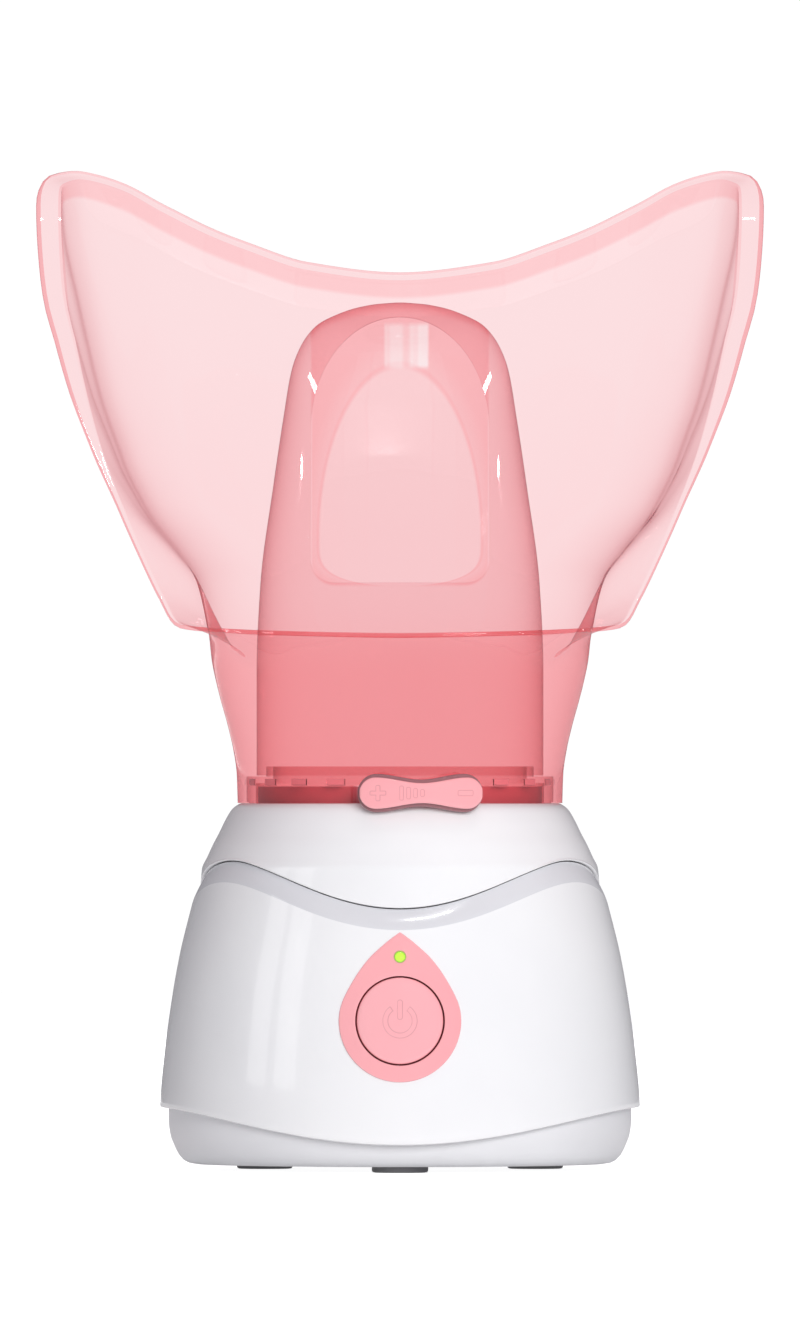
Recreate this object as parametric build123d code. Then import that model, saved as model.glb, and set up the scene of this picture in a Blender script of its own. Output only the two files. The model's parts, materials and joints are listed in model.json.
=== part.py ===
from build123d import *

import math
import os

# Facial steamer, in millimetres. +Z is up, the front of the machine faces -Y and the origin is
# on the table under the middle of the base. Angles around Z are counted from the front.

# ---- driving dimensions ----

WALL = 2.2
FIT = 0.3

# Body shell: outer radius by height, with a scalloped hem below and a wavy edge on top
BODY_RADII = [(8, 72.1), (18.5, 72.0), (36, 70.5), (51, 68.5), (65, 66.0), (79.6, 62.4), (91, 59.4)]
BODY_HEM_HIGH = 18.8
BODY_HEM_DROP = 10.4
BEVEL_HEIGHT = 6.2
BEVEL_STEP = 0.8

# Cover: outer radius by height, and the wave that its hem shares with the body
COVER_RADII = [(78.5, 60.4), (85.8, 59.8), (90.4, 59.4), (94, 57.75), (97.6, 56.1), (101, 54.3),
               (105, 52.35), (108.4, 50.2), (110, 48.0)]
COVER_TOP = 110.0
WAVE_MIDDLE = 85.8
WAVE_HEIGHT = 7.05
WAVE_COUNT = 3
HEM_GAP = 0.35

# Inner cover, its seal, the steam seat and the regulator that turns on it
SLEEVE_R = 54.95
SLEEVE_BOTTOM = 74.5
SEAT_BOTTOM = 100.5
SEAT_TOP = 103.0
SEAT_R = 50.6
SOCKET_R = 45.7
SOCKET_TOP = 108.2
VENT_COUNT = 6
VENT_ANGLE = 26.0
VENT_R_IN = 14.0
VENT_R_OUT = 35.0
PIVOT_R = 4.0
PIVOT_TOP = 105.9
SHUTTER_R = 42.6
SHUTTER_T = 2.0
SHUTTER_RIM_TOP = 115.0
SWING = 12.0
KNOB_ANGLE = 6.85
STEM_BOTTOM = 111.0
STEM_TOP = 114.5
STEM_HALF_ANGLE = 4.0
KNOB_Z = 113.0
KNOB_R = 51.8
KNOB_BACK_R = 54.0
KNOB_FACE_R = 56.0
KNOB_LENGTH = 38.7
KNOB_HEIGHT = 11.4
KNOB_WAIST = 8.0
KNOB_RIM = 1.0
MARK_HEIGHT = 0.3
BAR_HEIGHTS = [4.2, 3.5, 2.8, 2.1]
BAR_PITCH = 2.0
BAR_WIDTH = 1.1

# Mask: a round neck that opens into a wide, shallow tray leaning back
MASK_BOTTOM = 110.3
NECK_RADII = [(110, 48.7), (119, 49.0), (126, 50.0), (133, 51.6), (141, 53.8),
              (147, 55.3), (153, 56.5), (160, 57.2)]
HALF_WIDTHS = [(160, 57.2), (177, 61), (186, 67), (196, 75), (203, 79), (210, 82.5), (218, 85.5),
               (232, 90.5), (250, 95), (261, 97.5), (283, 102), (299, 103)]
BACK_DEPTHS = [(160, 57.2), (180, 62), (200, 66), (225, 70), (250, 73), (268, 75), (299, 77)]
SQUARENESS = [(160, 2.0), (200, 3.0)]
RIM_HEIGHTS = [(-30, 161.2), (0, 160.6), (30, 161.2), (48, 163), (56, 171), (65, 196), (75, 218),
               (86, 246), (91, 261), (97, 279),
               (101, 290), (106, 296), (112, 297), (123, 292.8), (132, 286.3), (139, 280.3),
               (147, 275.3), (158.5, 269.3), (180, 266), (201.5, 269.3)]
RIM_RADII = [(-30, 69), (0, 62), (30, 69), (48, 86.5), (56, 84.5), (65, 90), (75.7, 93.2),
             (86.5, 97.2), (91, 100.2),
             (97, 102.5), (101, 103.9), (106, 105.5), (112, 105.2), (123, 100.2), (132, 96.6),
             (139, 91.0), (147, 86.6), (158.5, 79.4), (180, 75), (201.5, 79.4)]
FLARE_START = 148.0
FLANGE_WIDTHS = [(0, 2.0), (54, 1.8), (65, 1.9), (75, 3.4), (82, 5.2), (91, 6.6), (101, 7.2),
                 (108, 4.5), (118, 2.0), (180, 2.0)]
FLANGE_T = 2.2
TRAY_STEP = 4.5
TRAY_STEP_ANGLES = (103, 124)
TRAY_STEP_START = 0.94
MOUTH_NORMAL = Vector(0, -0.853, 0.522)
SPIGOT_BOTTOM = 103.6
SPIGOT_R = 45.3
SPIGOT_R_IN = 43.2
RING_R = 46.0
LEDGE_BOTTOM = 116.0
LEDGE_TOP = 118.0
LEDGE_R_IN = 38.0
HOOD_LIP_TOP = 121.0
HOOD_LIP_R = 40.1
NOTCH_HALF_ANGLE = 17.5
NOTCH_TOP = 115.2

# Steam hood: a round-nosed tube with a window in its front
HOOD_BOTTOM = LEDGE_TOP + FIT
HOOD_TOP = 260.6
HOOD_WALL = 2.4
HOOD_HALF_WIDTHS = [(118, 43), (150, 43), (175.7, 41.9), (205.7, 38), (226, 35), (239.6, 32.7),
                    (246.5, 30.3), (253.4, 25.4), (258, 16.4), (260, 8.2), (260.6, 1.6)]
HOOD_FRONTS = [(118, 43), (160, 43), (180, 39.5), (206, 33), (226, 26.2), (240, 20), (250, 9),
               (256, -3), (260, -12), (260.6, -16.6)]
HOOD_BACKS = [(118, 43), (160, 43.4), (206, 43.8), (230, 42.8), (246, 39.5), (253.4, 34.5), (258, 28),
              (260, 22.5), (260.6, 19.8)]
WINDOW_HALF_WIDTH = 26.7
WINDOW_BOTTOM = 175.8
WINDOW_SHOULDER = 222.0
WINDOW_TOP = 256.0
WINDOW_CORNER = 7.0
WINDOW_DEPTH = 12.0

# Deck, water cup and heater
DECK_R = 61.9
DECK_BOTTOM = 70.0
DECK_TOP = 72.2
CUP_R = 30.5
CUP_HOLE_R = 31.0
CUP_WALL = 1.2
CUP_BOTTOM = 32.0
CUP_FLANGE_R = 36.0
CUP_CORNER = 5.0
GASKET_T = 1.0
HEATER_R = 26.0
HEATER_BOTTOM = 26.0
CLAMP_R = 29.0
CLAMP_BOTTOM = 23.8
HEATER_SCREW_R = 43.0
HEATER_SCREW_ANGLES = (60, 180, 300)
CASE_SCREW_R = 54.0
CASE_SCREW_ANGLES = (45, 135, 225, 315)
POST_R = 3.5

# Pan and feet
PAN_BOTTOM = 1.8
PAN_FLOOR = 4.2
PAN_TOP = 22.0
PAD_TOP = 6.2
FOOT_R = 8.4
FOOT_CIRCLE = 47.0
FOOT_PLUG_R = 3.0
FOOT_PLUG_TOP = 3.6

# Control bezel, power button, light and board
BEZEL_Z = 45.4
BEZEL_R = 18.2
BEZEL_FLANK = [(17.4, 50.9), (13.9, 57.6), (8.6, 64.6)]
BEZEL_APEX = 71.7
BEZEL_PROUD = 0.5
BUTTON_R = 12.85
BUTTON_HOLE_R = 13.3
BUTTON_PROUD = 0.35
BUTTON_BACK = 62.5
BUTTON_TRAVEL = 1.0
SYMBOL_R = 5.1
SYMBOL_WIDTH = 1.5
SYMBOL_DEPTH = 0.3
LED_Z = 64.4
LED_R = 1.5
BOARD_FRONT = 52.4
BOARD_T = 1.6
BOARD_HALF_WIDTH = 20.0
BOARD_BOTTOM = 30.0
BOARD_TOP = 68.0
SWITCH_DEPTH = 4.3
SWITCH_CLEAR = 0.3

# Power inlet at the back
INLET_Z = 30.0
INLET_WIDTH = 24.0
INLET_HEIGHT = 13.0
INLET_FACE = 71.9
INLET_FLANGE_BACK = 68.6
INLET_BODY_BACK = 52.0
INLET_SOCKET_DEPTH = 14.0
INLET_LOBE_R = 3.9
INLET_PIN_X = 4.3
INLET_PIN_R = 1.2

# ---- helpers ----

parts = {}


def interp(table, x):
    """Smooth curve through (x, y) pairs that never swings past them."""
    xs = [pair[0] for pair in table]
    ys = [pair[1] for pair in table]
    if x <= xs[0]:
        return ys[0]
    if x >= xs[-1]:
        return ys[-1]
    steps = [(ys[i + 1] - ys[i]) / (xs[i + 1] - xs[i]) for i in range(len(xs) - 1)]
    slopes = [steps[0]]
    for before, after in zip(steps, steps[1:]):
        slopes.append(0 if before * after <= 0 else 2 * before * after / (before + after))
    slopes.append(steps[-1])
    i = next(k for k in range(len(steps)) if x <= xs[k + 1])
    h = xs[i + 1] - xs[i]
    t = (x - xs[i]) / h
    return ((2 * t**3 - 3 * t**2 + 1) * ys[i] + (t**3 - 2 * t**2 + t) * h * slopes[i]
            + (-2 * t**3 + 3 * t**2) * ys[i + 1] + (t**3 - t**2) * h * slopes[i + 1])


def ramp(x, low, high):
    """0 below low, 1 above high, smooth between."""
    t = min(1.0, max(0.0, (x - low) / (high - low)))
    return t * t * (3 - 2 * t)


def around(radius, angle, z):
    """Point at an angle counted from the front, in degrees."""
    a = math.radians(angle)
    return Vector(radius * math.sin(a), -radius * math.cos(a), z)


def normal_of(surface, angle, v):
    """Outward unit normal of surface(angle, v), from its neighbours."""
    across = surface(angle + 0.25, v) - surface(angle - 0.25, v)
    low, high = max(0.0, v - 0.004), min(1.0, v + 0.004)
    along = surface(angle, high) - surface(angle, low)
    return across.cross(along).normalized()


def lofted(rows):
    """Smooth face through rows of points. Even parameters give every row the same knots."""
    even = [i / (len(rows[0]) - 1) for i in range(len(rows[0]))]
    return Shell.make_loft([Wire([Edge.make_spline(row, parameters=even)]) for row in rows]).faces()[0]


def closed(half):
    """Solid bounded by faces and their mirror images."""
    return Solid(Shell(half + [face.mirror(Plane.YZ) for face in half]))


def skin(outer, inner, rows, columns=37, lips=()):
    """Closed wall between two surfaces, symmetric about X = 0.

    outer(angle, v) and inner(angle, v) run from the front round to the back. lips are extra
    edge curves that the top edge steps through on its way from the outer face to the inner one.
    """
    angles = [180 * i / (columns - 1) for i in range(columns)]

    def on_plane(point, angle):
        return (0 if angle in (0, 180) else point.X, point.Y, point.Z)

    def face_of(surface):
        return lofted([[on_plane(surface(a, v), a) for a in angles] for v in rows])

    def end_edge(face, surface, v):
        middle = surface(90, v)
        return min(face.edges(), key=lambda e: (e.position_at(0.5) - middle).length)

    outer_face, inner_face = face_of(outer), face_of(inner)
    crest = [end_edge(outer_face, outer, 1)]
    order = angles if crest[0].position_at(0).Y < 0 else angles[::-1]
    for lip in lips:
        crest.append(Edge.make_spline([on_plane(lip(a), a) for a in order]))
    crest.append(end_edge(inner_face, inner, 1))
    half = [outer_face, inner_face]
    half.append(Face.make_surface_from_curves(end_edge(outer_face, outer, 0),
                                              end_edge(inner_face, inner, 0)))
    for first, second in zip(crest, crest[1:]):
        half.append(Face.make_surface_from_curves(first, second))
    return closed(half)


def turned(outline):
    """Solid of revolution about Z from (radius, height) corners."""
    return revolve(make_face(Polyline(*[(r, 0, z) for r, z in outline], close=True)), Axis.Z)


def tube(r_out, r_in, low, high):
    return turned([(r_in, low), (r_out, low), (r_out, high), (r_in, high)])


def rod(radius, low, high, x=0.0, y=0.0):
    return Pos(x, y, (low + high) / 2) * Cylinder(radius, high - low)


def rod_y(radius, y_low, y_high, x, z):
    """Cylinder along Y."""
    return Pos(x, (y_low + y_high) / 2, z) * Rot(90, 0, 0) * Cylinder(radius, y_high - y_low)


def block(x0, x1, y0, y1, z0, z1):
    return Pos((x0 + x1) / 2, (y0 + y1) / 2, (z0 + z1) / 2) * Box(abs(x1 - x0), abs(y1 - y0), abs(z1 - z0))


def sector(r_in, r_out, low, high, middle, half_angle):
    """Piece of a tube, centred on an angle counted from the front."""
    reach = 1.5 * r_out
    corners = [around(0, 0, low), around(reach, middle - half_angle, low),
               around(reach, middle + half_angle, low)]
    wedge = extrude(make_face(Polyline(*corners, close=True)), high - low, dir=(0, 0, 1))
    return wedge & tube(r_out, r_in, low, high)


def barrel(proud):
    """Solid inside the body's outer surface, grown by proud."""
    side = Spline(*[(r + proud, 0, z) for z, r in BODY_RADII])
    low, high = BODY_RADII[0][0], BODY_RADII[-1][0]
    outline = [side, Line(side @ 1, (0, 0, high)), Line((0, 0, high), (0, 0, low)),
               Line((0, 0, low), side @ 0)]
    return revolve(make_face(outline), Axis.Z)


def forward(outline, near, far):
    """Prism of an outline drawn in XZ, from y = -near to y = -far."""
    return extrude(Pos(0, -near, 0) * make_face(outline), far - near, dir=(0, -1, 0))


def group(solids):
    return Compound(children=[piece for solid in solids for piece in solid.solids()])


# ---- body shell ----


def hem_height(angle):
    return WAVE_MIDDLE - WAVE_HEIGHT * math.cos(math.radians(WAVE_COUNT * angle))


def body_surface(inset):
    def surface(angle, v):
        bottom = BODY_HEM_HIGH - BODY_HEM_DROP * abs(math.cos(math.radians(angle)))**3
        top = hem_height(angle) - HEM_GAP
        bevel = top - BEVEL_HEIGHT
        if v <= 0.8:
            z = bottom + (bevel - bottom) * v / 0.8
            radius = interp(BODY_RADII, z)
        else:
            t = (v - 0.8) / 0.2
            z = bevel + (top - bevel) * t
            edge = interp(COVER_RADII, hem_height(angle)) - BEVEL_STEP
            radius = interp(BODY_RADII, bevel) + (edge - interp(BODY_RADII, bevel)) * t**1.3
        return around(radius - inset, angle, z)
    return surface


def teardrop(grow):
    """Bezel outline in XZ: half round below, drawn to a point above."""
    flank = [(BEZEL_R + grow, BEZEL_Z)] + [(x + grow, z + 0.4 * grow) for x, z in BEZEL_FLANK]
    apex = (0, 0, BEZEL_APEX + 1.3 * grow)
    right = Spline(*[(x, 0, z) for x, z in flank], apex, tangents=[(0, 0, 1), (-1, 0, 0.8)])
    bottom = BEZEL_Z - BEZEL_R - grow
    below = ThreePointArc((-BEZEL_R - grow, 0, BEZEL_Z), (0, 0, bottom), (BEZEL_R + grow, 0, BEZEL_Z))
    return [right, right.mirror(Plane.YZ), below]


def inlet_outline(grow):
    return Pos(0, 0, INLET_Z) * Rot(90, 0, 0) * RectangleRounded(INLET_WIDTH + 2 * grow,
                                                                INLET_HEIGHT + 2 * grow, 3 + grow)


body = skin(body_surface(0), body_surface(WALL), [i / 24 for i in range(25)])
body -= forward(teardrop(0.15), 50, 80)
body -= extrude(Pos(0, 60, 0) * inlet_outline(0.15), 20, dir=(0, 1, 0))
parts["body_shell"] = body

# ---- bottom pan, feet and case screws ----

pan = turned([(0, PAN_BOTTOM), (61, PAN_BOTTOM), (64.5, 2.8), (66.2, 4.5), (67.8, 7.7), (69, 11.3),
              (69.4, 15.5), (69.4, PAN_TOP), (67.2, PAN_TOP), (67.2, 15.5), (66.6, 11.3),
              (65.3, 7.7), (63.2, PAN_FLOOR), (0, PAN_FLOOR)])
feet_at = {"foot_front": 0, "foot_right": 120, "foot_left": 240}
for angle in CASE_SCREW_ANGLES:
    at = around(CASE_SCREW_R, angle, 0)
    pan += rod(5.2, PAN_FLOOR, PAD_TOP, at.X, at.Y)
    pan -= rod(1.7, PAN_BOTTOM, PAD_TOP, at.X, at.Y)
    pan -= rod(3.4, PAN_BOTTOM, PAD_TOP - 1.8, at.X, at.Y)
for name, angle in feet_at.items():
    at = around(FOOT_CIRCLE, angle, 0)
    pan -= rod(FOOT_PLUG_R + 0.05, PAN_BOTTOM, PAN_FLOOR, at.X, at.Y)
    foot = rod(FOOT_R, 0, PAN_BOTTOM, at.X, at.Y)
    foot = chamfer(foot.edges().sort_by(Axis.Z)[0], 0.5)
    parts[name] = foot + rod(FOOT_PLUG_R, PAN_BOTTOM, FOOT_PLUG_TOP, at.X, at.Y)
pan -= block(-INLET_WIDTH / 2 - FIT, INLET_WIDTH / 2 + FIT, 60, 80, 20, 40)
parts["bottom_pan"] = pan

screws = []
for angle in CASE_SCREW_ANGLES:
    at = around(CASE_SCREW_R, angle, 0)
    head = rod(3.0, 2.4, PAD_TOP - 1.8, at.X, at.Y) - rod(1.2, 2.4, 3.4, at.X, at.Y)
    screws.append(head + rod(1.45, PAD_TOP - 1.8, 24, at.X, at.Y))
parts["case_screws"] = group(screws)

# ---- deck, posts, cup, heater ----

deck = tube(DECK_R, CUP_HOLE_R, DECK_BOTTOM, DECK_TOP)
parts["inner_deck"] = deck
posts = []
for angle in CASE_SCREW_ANGLES:
    at = around(CASE_SCREW_R, angle, 0)
    post = rod(POST_R, PAD_TOP, DECK_BOTTOM, at.X, at.Y)
    posts.append(post - rod(1.5, PAD_TOP, 26, at.X, at.Y))
for angle in HEATER_SCREW_ANGLES:
    at = around(HEATER_SCREW_R, angle, 0)
    post = rod(POST_R, HEATER_BOTTOM, DECK_BOTTOM, at.X, at.Y)
    posts.append(post - rod(1.3, HEATER_BOTTOM, 44, at.X, at.Y))
parts["deck_posts"] = group(posts)

parts["cup_gasket"] = tube(CUP_FLANGE_R, CUP_HOLE_R + 0.6, DECK_TOP, DECK_TOP + GASKET_T)
cup_rim = DECK_TOP + GASKET_T
cup = rod(CUP_R, CUP_BOTTOM, cup_rim + CUP_WALL)
cup = fillet(cup.edges().sort_by(Axis.Z)[0], CUP_CORNER)
hollow = rod(CUP_R - CUP_WALL, CUP_BOTTOM + CUP_WALL, cup_rim + CUP_WALL)
hollow = fillet(hollow.edges().sort_by(Axis.Z)[0], CUP_CORNER - CUP_WALL)
cup += rod(CUP_FLANGE_R, cup_rim, cup_rim + CUP_WALL)
parts["water_cup"] = cup - hollow

parts["heater_plate"] = rod(HEATER_R, HEATER_BOTTOM, CUP_BOTTOM)
clamp = rod(CLAMP_R, CLAMP_BOTTOM, HEATER_BOTTOM) - rod(10, CLAMP_BOTTOM, HEATER_BOTTOM)
heater_screws = []
for angle in HEATER_SCREW_ANGLES:
    at = around(HEATER_SCREW_R, angle, 0)
    clamp += Rot(0, 0, angle - 90) * block(20, HEATER_SCREW_R, -5, 5, CLAMP_BOTTOM, HEATER_BOTTOM)
    clamp += rod(5, CLAMP_BOTTOM, HEATER_BOTTOM, at.X, at.Y)
for angle in HEATER_SCREW_ANGLES:
    at = around(HEATER_SCREW_R, angle, 0)
    clamp -= rod(1.6, CLAMP_BOTTOM, HEATER_BOTTOM, at.X, at.Y)
    head = rod(2.8, CLAMP_BOTTOM - 2, CLAMP_BOTTOM, at.X, at.Y)
    head -= rod(1.1, CLAMP_BOTTOM - 2, CLAMP_BOTTOM - 1, at.X, at.Y)
    heater_screws.append(head + rod(1.25, CLAMP_BOTTOM, 40, at.X, at.Y))
parts["heater_clamp"] = clamp
parts["heater_screws"] = group(heater_screws)
thermostat = rod(7.9, 17, CLAMP_BOTTOM, 17, 8) + rod(5, 14, 17, 17, 8)
for side in (-1, 1):
    thermostat += block(16.6, 17.4, 8 + side * 7, 8 + side * 12, 15.0, 19)
parts["thermostat"] = thermostat
fuse = Pos(-19, -4, 21.4) * Rot(90, 0, 0) * Cylinder(2.1, 12)
fuse += block(-21.1, -16.9, -7, -1, 21.4, CLAMP_BOTTOM)
parts["thermal_fuse"] = fuse

# ---- bezel, button, light, board ----

bezel = (barrel(BEZEL_PROUD) - barrel(-2.6)) & forward(teardrop(0), 50, 80)
bezel -= rod_y(BUTTON_HOLE_R, -80, -50, 0, BEZEL_Z)
bezel -= rod_y(LED_R + 0.1, -80, -50, 0, LED_Z)
parts["control_bezel"] = bezel

button = barrel(BUTTON_PROUD) & rod_y(BUTTON_R, -80, -BUTTON_BACK - 1.5, 0, BEZEL_Z)
button += rod_y(14.3, -BUTTON_BACK - 1.5, -BUTTON_BACK, 0, BEZEL_Z)
ring = [CenterArc((0, 0), SYMBOL_R, 125, 290), CenterArc((0, 0), SYMBOL_R - SYMBOL_WIDTH, 125, 290)]
ring += [Line(ring[0] @ 0, ring[1] @ 0), Line(ring[0] @ 1, ring[1] @ 1)]
symbol = extrude(Pos(0, -60, BEZEL_Z) * Rot(90, 0, 0) * make_face(ring), 20, dir=(0, -1, 0))
symbol += block(-SYMBOL_WIDTH / 2, SYMBOL_WIDTH / 2, -80, -60, BEZEL_Z + 0.5, BEZEL_Z + 6.2)
parts["power_button"] = button - (symbol - barrel(BUTTON_PROUD - SYMBOL_DEPTH))

switch_front = -BOARD_FRONT - SWITCH_DEPTH
plunger = rod_y(2.2, -BUTTON_BACK, switch_front - BUTTON_TRAVEL - SWITCH_CLEAR, 0, BEZEL_Z)
parts["switch_plunger"] = plunger
switch = block(-3, 3, -BOARD_FRONT - 3.3, -BOARD_FRONT, BEZEL_Z - 3, BEZEL_Z + 3)
parts["tact_switch"] = switch + rod_y(1.75, switch_front, -BOARD_FRONT - 3.3, 0, BEZEL_Z)
led_tip = interp(BODY_RADII, LED_Z) + BEZEL_PROUD + 0.3
lamp = rod_y(LED_R, -led_tip, -BOARD_FRONT, 0, LED_Z)
parts["indicator_led"] = fillet(lamp.edges().sort_by(Axis.Y)[0], 0.6)

board_back = -BOARD_FRONT + BOARD_T
board = block(-BOARD_HALF_WIDTH, BOARD_HALF_WIDTH, -BOARD_FRONT, board_back, BOARD_BOTTOM, BOARD_TOP)
bracket_front = board_back + 2
bracket = block(-BOARD_HALF_WIDTH, BOARD_HALF_WIDTH, bracket_front, bracket_front + 1.6,
                PAN_FLOOR, BOARD_TOP)
bracket -= block(-13, 13, bracket_front, bracket_front + 1.6, 12, BOARD_TOP - 7)
bracket += block(-BOARD_HALF_WIDTH, BOARD_HALF_WIDTH, bracket_front, bracket_front + 9,
                 PAN_FLOOR, PAN_FLOOR + 1.6)
board_screws = []
for x in (-16.5, 16.5):
    for z in (BOARD_BOTTOM + 3.5, BOARD_TOP - 3.5):
        board -= rod_y(1.3, -60, -40, x, z)
        bracket += rod_y(2.6, board_back, bracket_front, x, z)
        bracket -= rod_y(1.05, -60, -40, x, z)
        screw = rod_y(2.0, -BOARD_FRONT - 1.4, -BOARD_FRONT, x, z)
        board_screws.append(screw + rod_y(1.0, -BOARD_FRONT, bracket_front + 1, x, z))
relay = block(-14, -4, -BOARD_FRONT - 8, -BOARD_FRONT, 50.6, 60)
capacitor = rod_y(4, -BOARD_FRONT - 9, -BOARD_FRONT, 11, 37.5)
terminal = block(-14, -5, -BOARD_FRONT - 7, -BOARD_FRONT, 31, 38)
parts["control_board"] = board + relay + capacitor + terminal
parts["board_bracket"] = bracket
parts["board_screws"] = group(board_screws)

# ---- power inlet ----

inlet = extrude(Pos(0, INLET_FLANGE_BACK, 0) * inlet_outline(0), INLET_FACE - INLET_FLANGE_BACK,
                dir=(0, 1, 0))
inlet += block(-10, 10, INLET_BODY_BACK, INLET_FLANGE_BACK, INLET_Z - 5.5, INLET_Z + 5.5)
socket_back = INLET_FACE - INLET_SOCKET_DEPTH
pins = []
socket = block(-INLET_PIN_X, INLET_PIN_X, socket_back, INLET_FACE, INLET_Z - 3.1, INLET_Z + 3.1)
for x in (-INLET_PIN_X, INLET_PIN_X):
    socket += rod_y(INLET_LOBE_R, socket_back, INLET_FACE, x, INLET_Z)
    pins.append(rod_y(INLET_PIN_R, INLET_BODY_BACK - 4, INLET_FACE - 3, x, INLET_Z))
inlet -= socket
for x in (-INLET_PIN_X, INLET_PIN_X):
    inlet -= rod_y(INLET_PIN_R, INLET_BODY_BACK - 1, INLET_FACE, x, INLET_Z)
parts["power_inlet"] = inlet
parts["inlet_pins"] = group(pins)


def wire(points, radius=0.9):
    path = Spline(*points, tangents=[(0, -1, 0), (0, 0, 1)])
    start = Plane(origin=path @ 0, z_dir=path % 0)
    return sweep(start * Circle(radius), path=path)


wires = []
for side in (-1, 1):
    wires.append(wire([(side * INLET_PIN_X, INLET_BODY_BACK - 4.2, INLET_Z), (side * 20, 38, 17),
                       (side * 38, 12, 13), (side * 36, -24, 13), (side * 27, -44, 13),
                       (side * 20 - 3, -56, 17), (side * 2.2 - 9.5, -BOARD_FRONT - 3.8, 30.8)]))
parts["internal_wiring"] = group(wires)

# ---- cover ----


def cover_surface(inset):
    def surface(angle, v):
        hem = hem_height(angle)
        z = hem + (COVER_TOP - hem) * v
        return around(interp(COVER_RADII, z) - inset, angle, z)
    return surface


parts["top_cover"] = skin(cover_surface(0), cover_surface(WALL), [i / 20 for i in range(21)])

inner = turned([(0, SEAT_BOTTOM), (47.2, SEAT_BOTTOM), (51.4, 96.2), (SLEEVE_R - 2, 91),
                (SLEEVE_R - 2, SLEEVE_BOTTOM), (SLEEVE_R, SLEEVE_BOTTOM), (SLEEVE_R, 91.5),
                (53.2, 97), (SEAT_R, SEAT_TOP), (SOCKET_R + 1.8, SEAT_TOP),
                (SOCKET_R + 1.8, SOCKET_TOP), (SOCKET_R, SOCKET_TOP), (SOCKET_R, SEAT_TOP),
                (PIVOT_R, SEAT_TOP), (PIVOT_R, PIVOT_TOP), (0, PIVOT_TOP)])
for i in range(VENT_COUNT):
    inner -= sector(VENT_R_IN, VENT_R_OUT, SEAT_BOTTOM, SEAT_TOP, i * 360 / VENT_COUNT, VENT_ANGLE / 2)
inner -= rod(1.25, 98, PIVOT_TOP)
for i in range(3):
    at = around(10, 60 + i * 120, 0)
    inner += rod(1.8, 93.5, SEAT_BOTTOM, at.X, at.Y)
parts["inner_cover"] = inner
parts["cover_seal"] = tube(SLEEVE_R - 0.2, SLEEVE_R - 2.4, DECK_TOP + FIT, SLEEVE_BOTTOM)
parts["splash_guard"] = turned([(0, 92), (30, 89.6), (30, 91.1), (12, 93.5), (0, 93.5)])
parts["pivot_washer"] = tube(7, 1.7, PIVOT_TOP, PIVOT_TOP + 0.8)
pivot = rod(2.9, PIVOT_TOP + 0.8, PIVOT_TOP + 2.8) + rod(1.2, SEAT_BOTTOM, PIVOT_TOP + 0.8)
parts["pivot_screw"] = pivot - rod(1.1, PIVOT_TOP + 1.6, PIVOT_TOP + 2.8)

# ---- regulator ----

disc_bottom = SEAT_TOP + FIT
shutter = tube(SHUTTER_R, PIVOT_R + 0.06, disc_bottom, disc_bottom + SHUTTER_T)
for i in range(VENT_COUNT):
    middle = i * 360 / VENT_COUNT + SWING + KNOB_ANGLE
    shutter -= sector(VENT_R_IN, VENT_R_OUT, disc_bottom, disc_bottom + SHUTTER_T, middle, VENT_ANGLE / 2)
shutter += tube(SHUTTER_R, SHUTTER_R - 2.3, disc_bottom, SHUTTER_RIM_TOP)
shutter += sector(SHUTTER_R - 1, KNOB_R + 0.6, STEM_BOTTOM, STEM_TOP, KNOB_ANGLE, STEM_HALF_ANGLE)
parts["regulator_shutter"] = shutter


def peanut(length, height, waist):
    """Outline in XZ of two round lobes joined by a narrower waist."""
    x = length / 2 - height / 2
    ends = [ThreePointArc((s * x, 0, height / 2), (s * length / 2, 0, 0), (s * x, 0, -height / 2))
            for s in (-1, 1)]
    flanks = [Spline((-x, 0, s * height / 2), (0, 0, s * waist / 2), (x, 0, s * height / 2),
                     tangents=[(1, 0, 0), (1, 0, 0)]) for s in (-1, 1)]
    return ends + flanks


def on_knob(outline, r_in, r_out):
    """Prism of an XZ outline, bent to a ring around Z and turned to the knob's place."""
    prism = Pos(0, 0, KNOB_Z) * forward(outline, KNOB_R - 20, KNOB_FACE_R + 5)
    return Rot(0, 0, KNOB_ANGLE) * (prism & tube(r_out, r_in, KNOB_Z - 10, KNOB_Z + 10))


knob = on_knob(peanut(KNOB_LENGTH, KNOB_HEIGHT, KNOB_WAIST), KNOB_R, KNOB_BACK_R)
stem_seat = sector(SHUTTER_R, KNOB_R + 0.6, STEM_BOTTOM, STEM_TOP, KNOB_ANGLE, STEM_HALF_ANGLE)
parts["regulator_knob"] = knob - stem_seat
face_outline = peanut(KNOB_LENGTH - 2 * KNOB_RIM, KNOB_HEIGHT - 2 * KNOB_RIM, KNOB_WAIST - 2 * KNOB_RIM)
face = on_knob(face_outline, KNOB_BACK_R, KNOB_FACE_R)


def bar(x, z, width, height):
    return Pos(x, 0, z) * Rot(90, 0, 0) * RectangleRounded(width, height, min(width, height) * 0.45)


marks = [(-12.8, 0, 4.6, 1.2), (-12.8, 0, 1.2, 4.6), (12.8, 0, 4.6, 1.4)]
marks += [(-6 + i * BAR_PITCH, 0, BAR_WIDTH, height) for i, height in enumerate(BAR_HEIGHTS)]
for x, z, width, height in marks:
    mark = Pos(0, 20 - KNOB_R, KNOB_Z) * bar(x, z, width, height)
    prism = extrude(mark, 40, dir=(0, -1, 0))
    raised = tube(KNOB_FACE_R + MARK_HEIGHT, KNOB_FACE_R - 0.5, KNOB_Z - 10, KNOB_Z + 10)
    face += Rot(0, 0, KNOB_ANGLE) * (prism & raised)
parts["knob_face"] = face

# ---- mask ----


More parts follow.
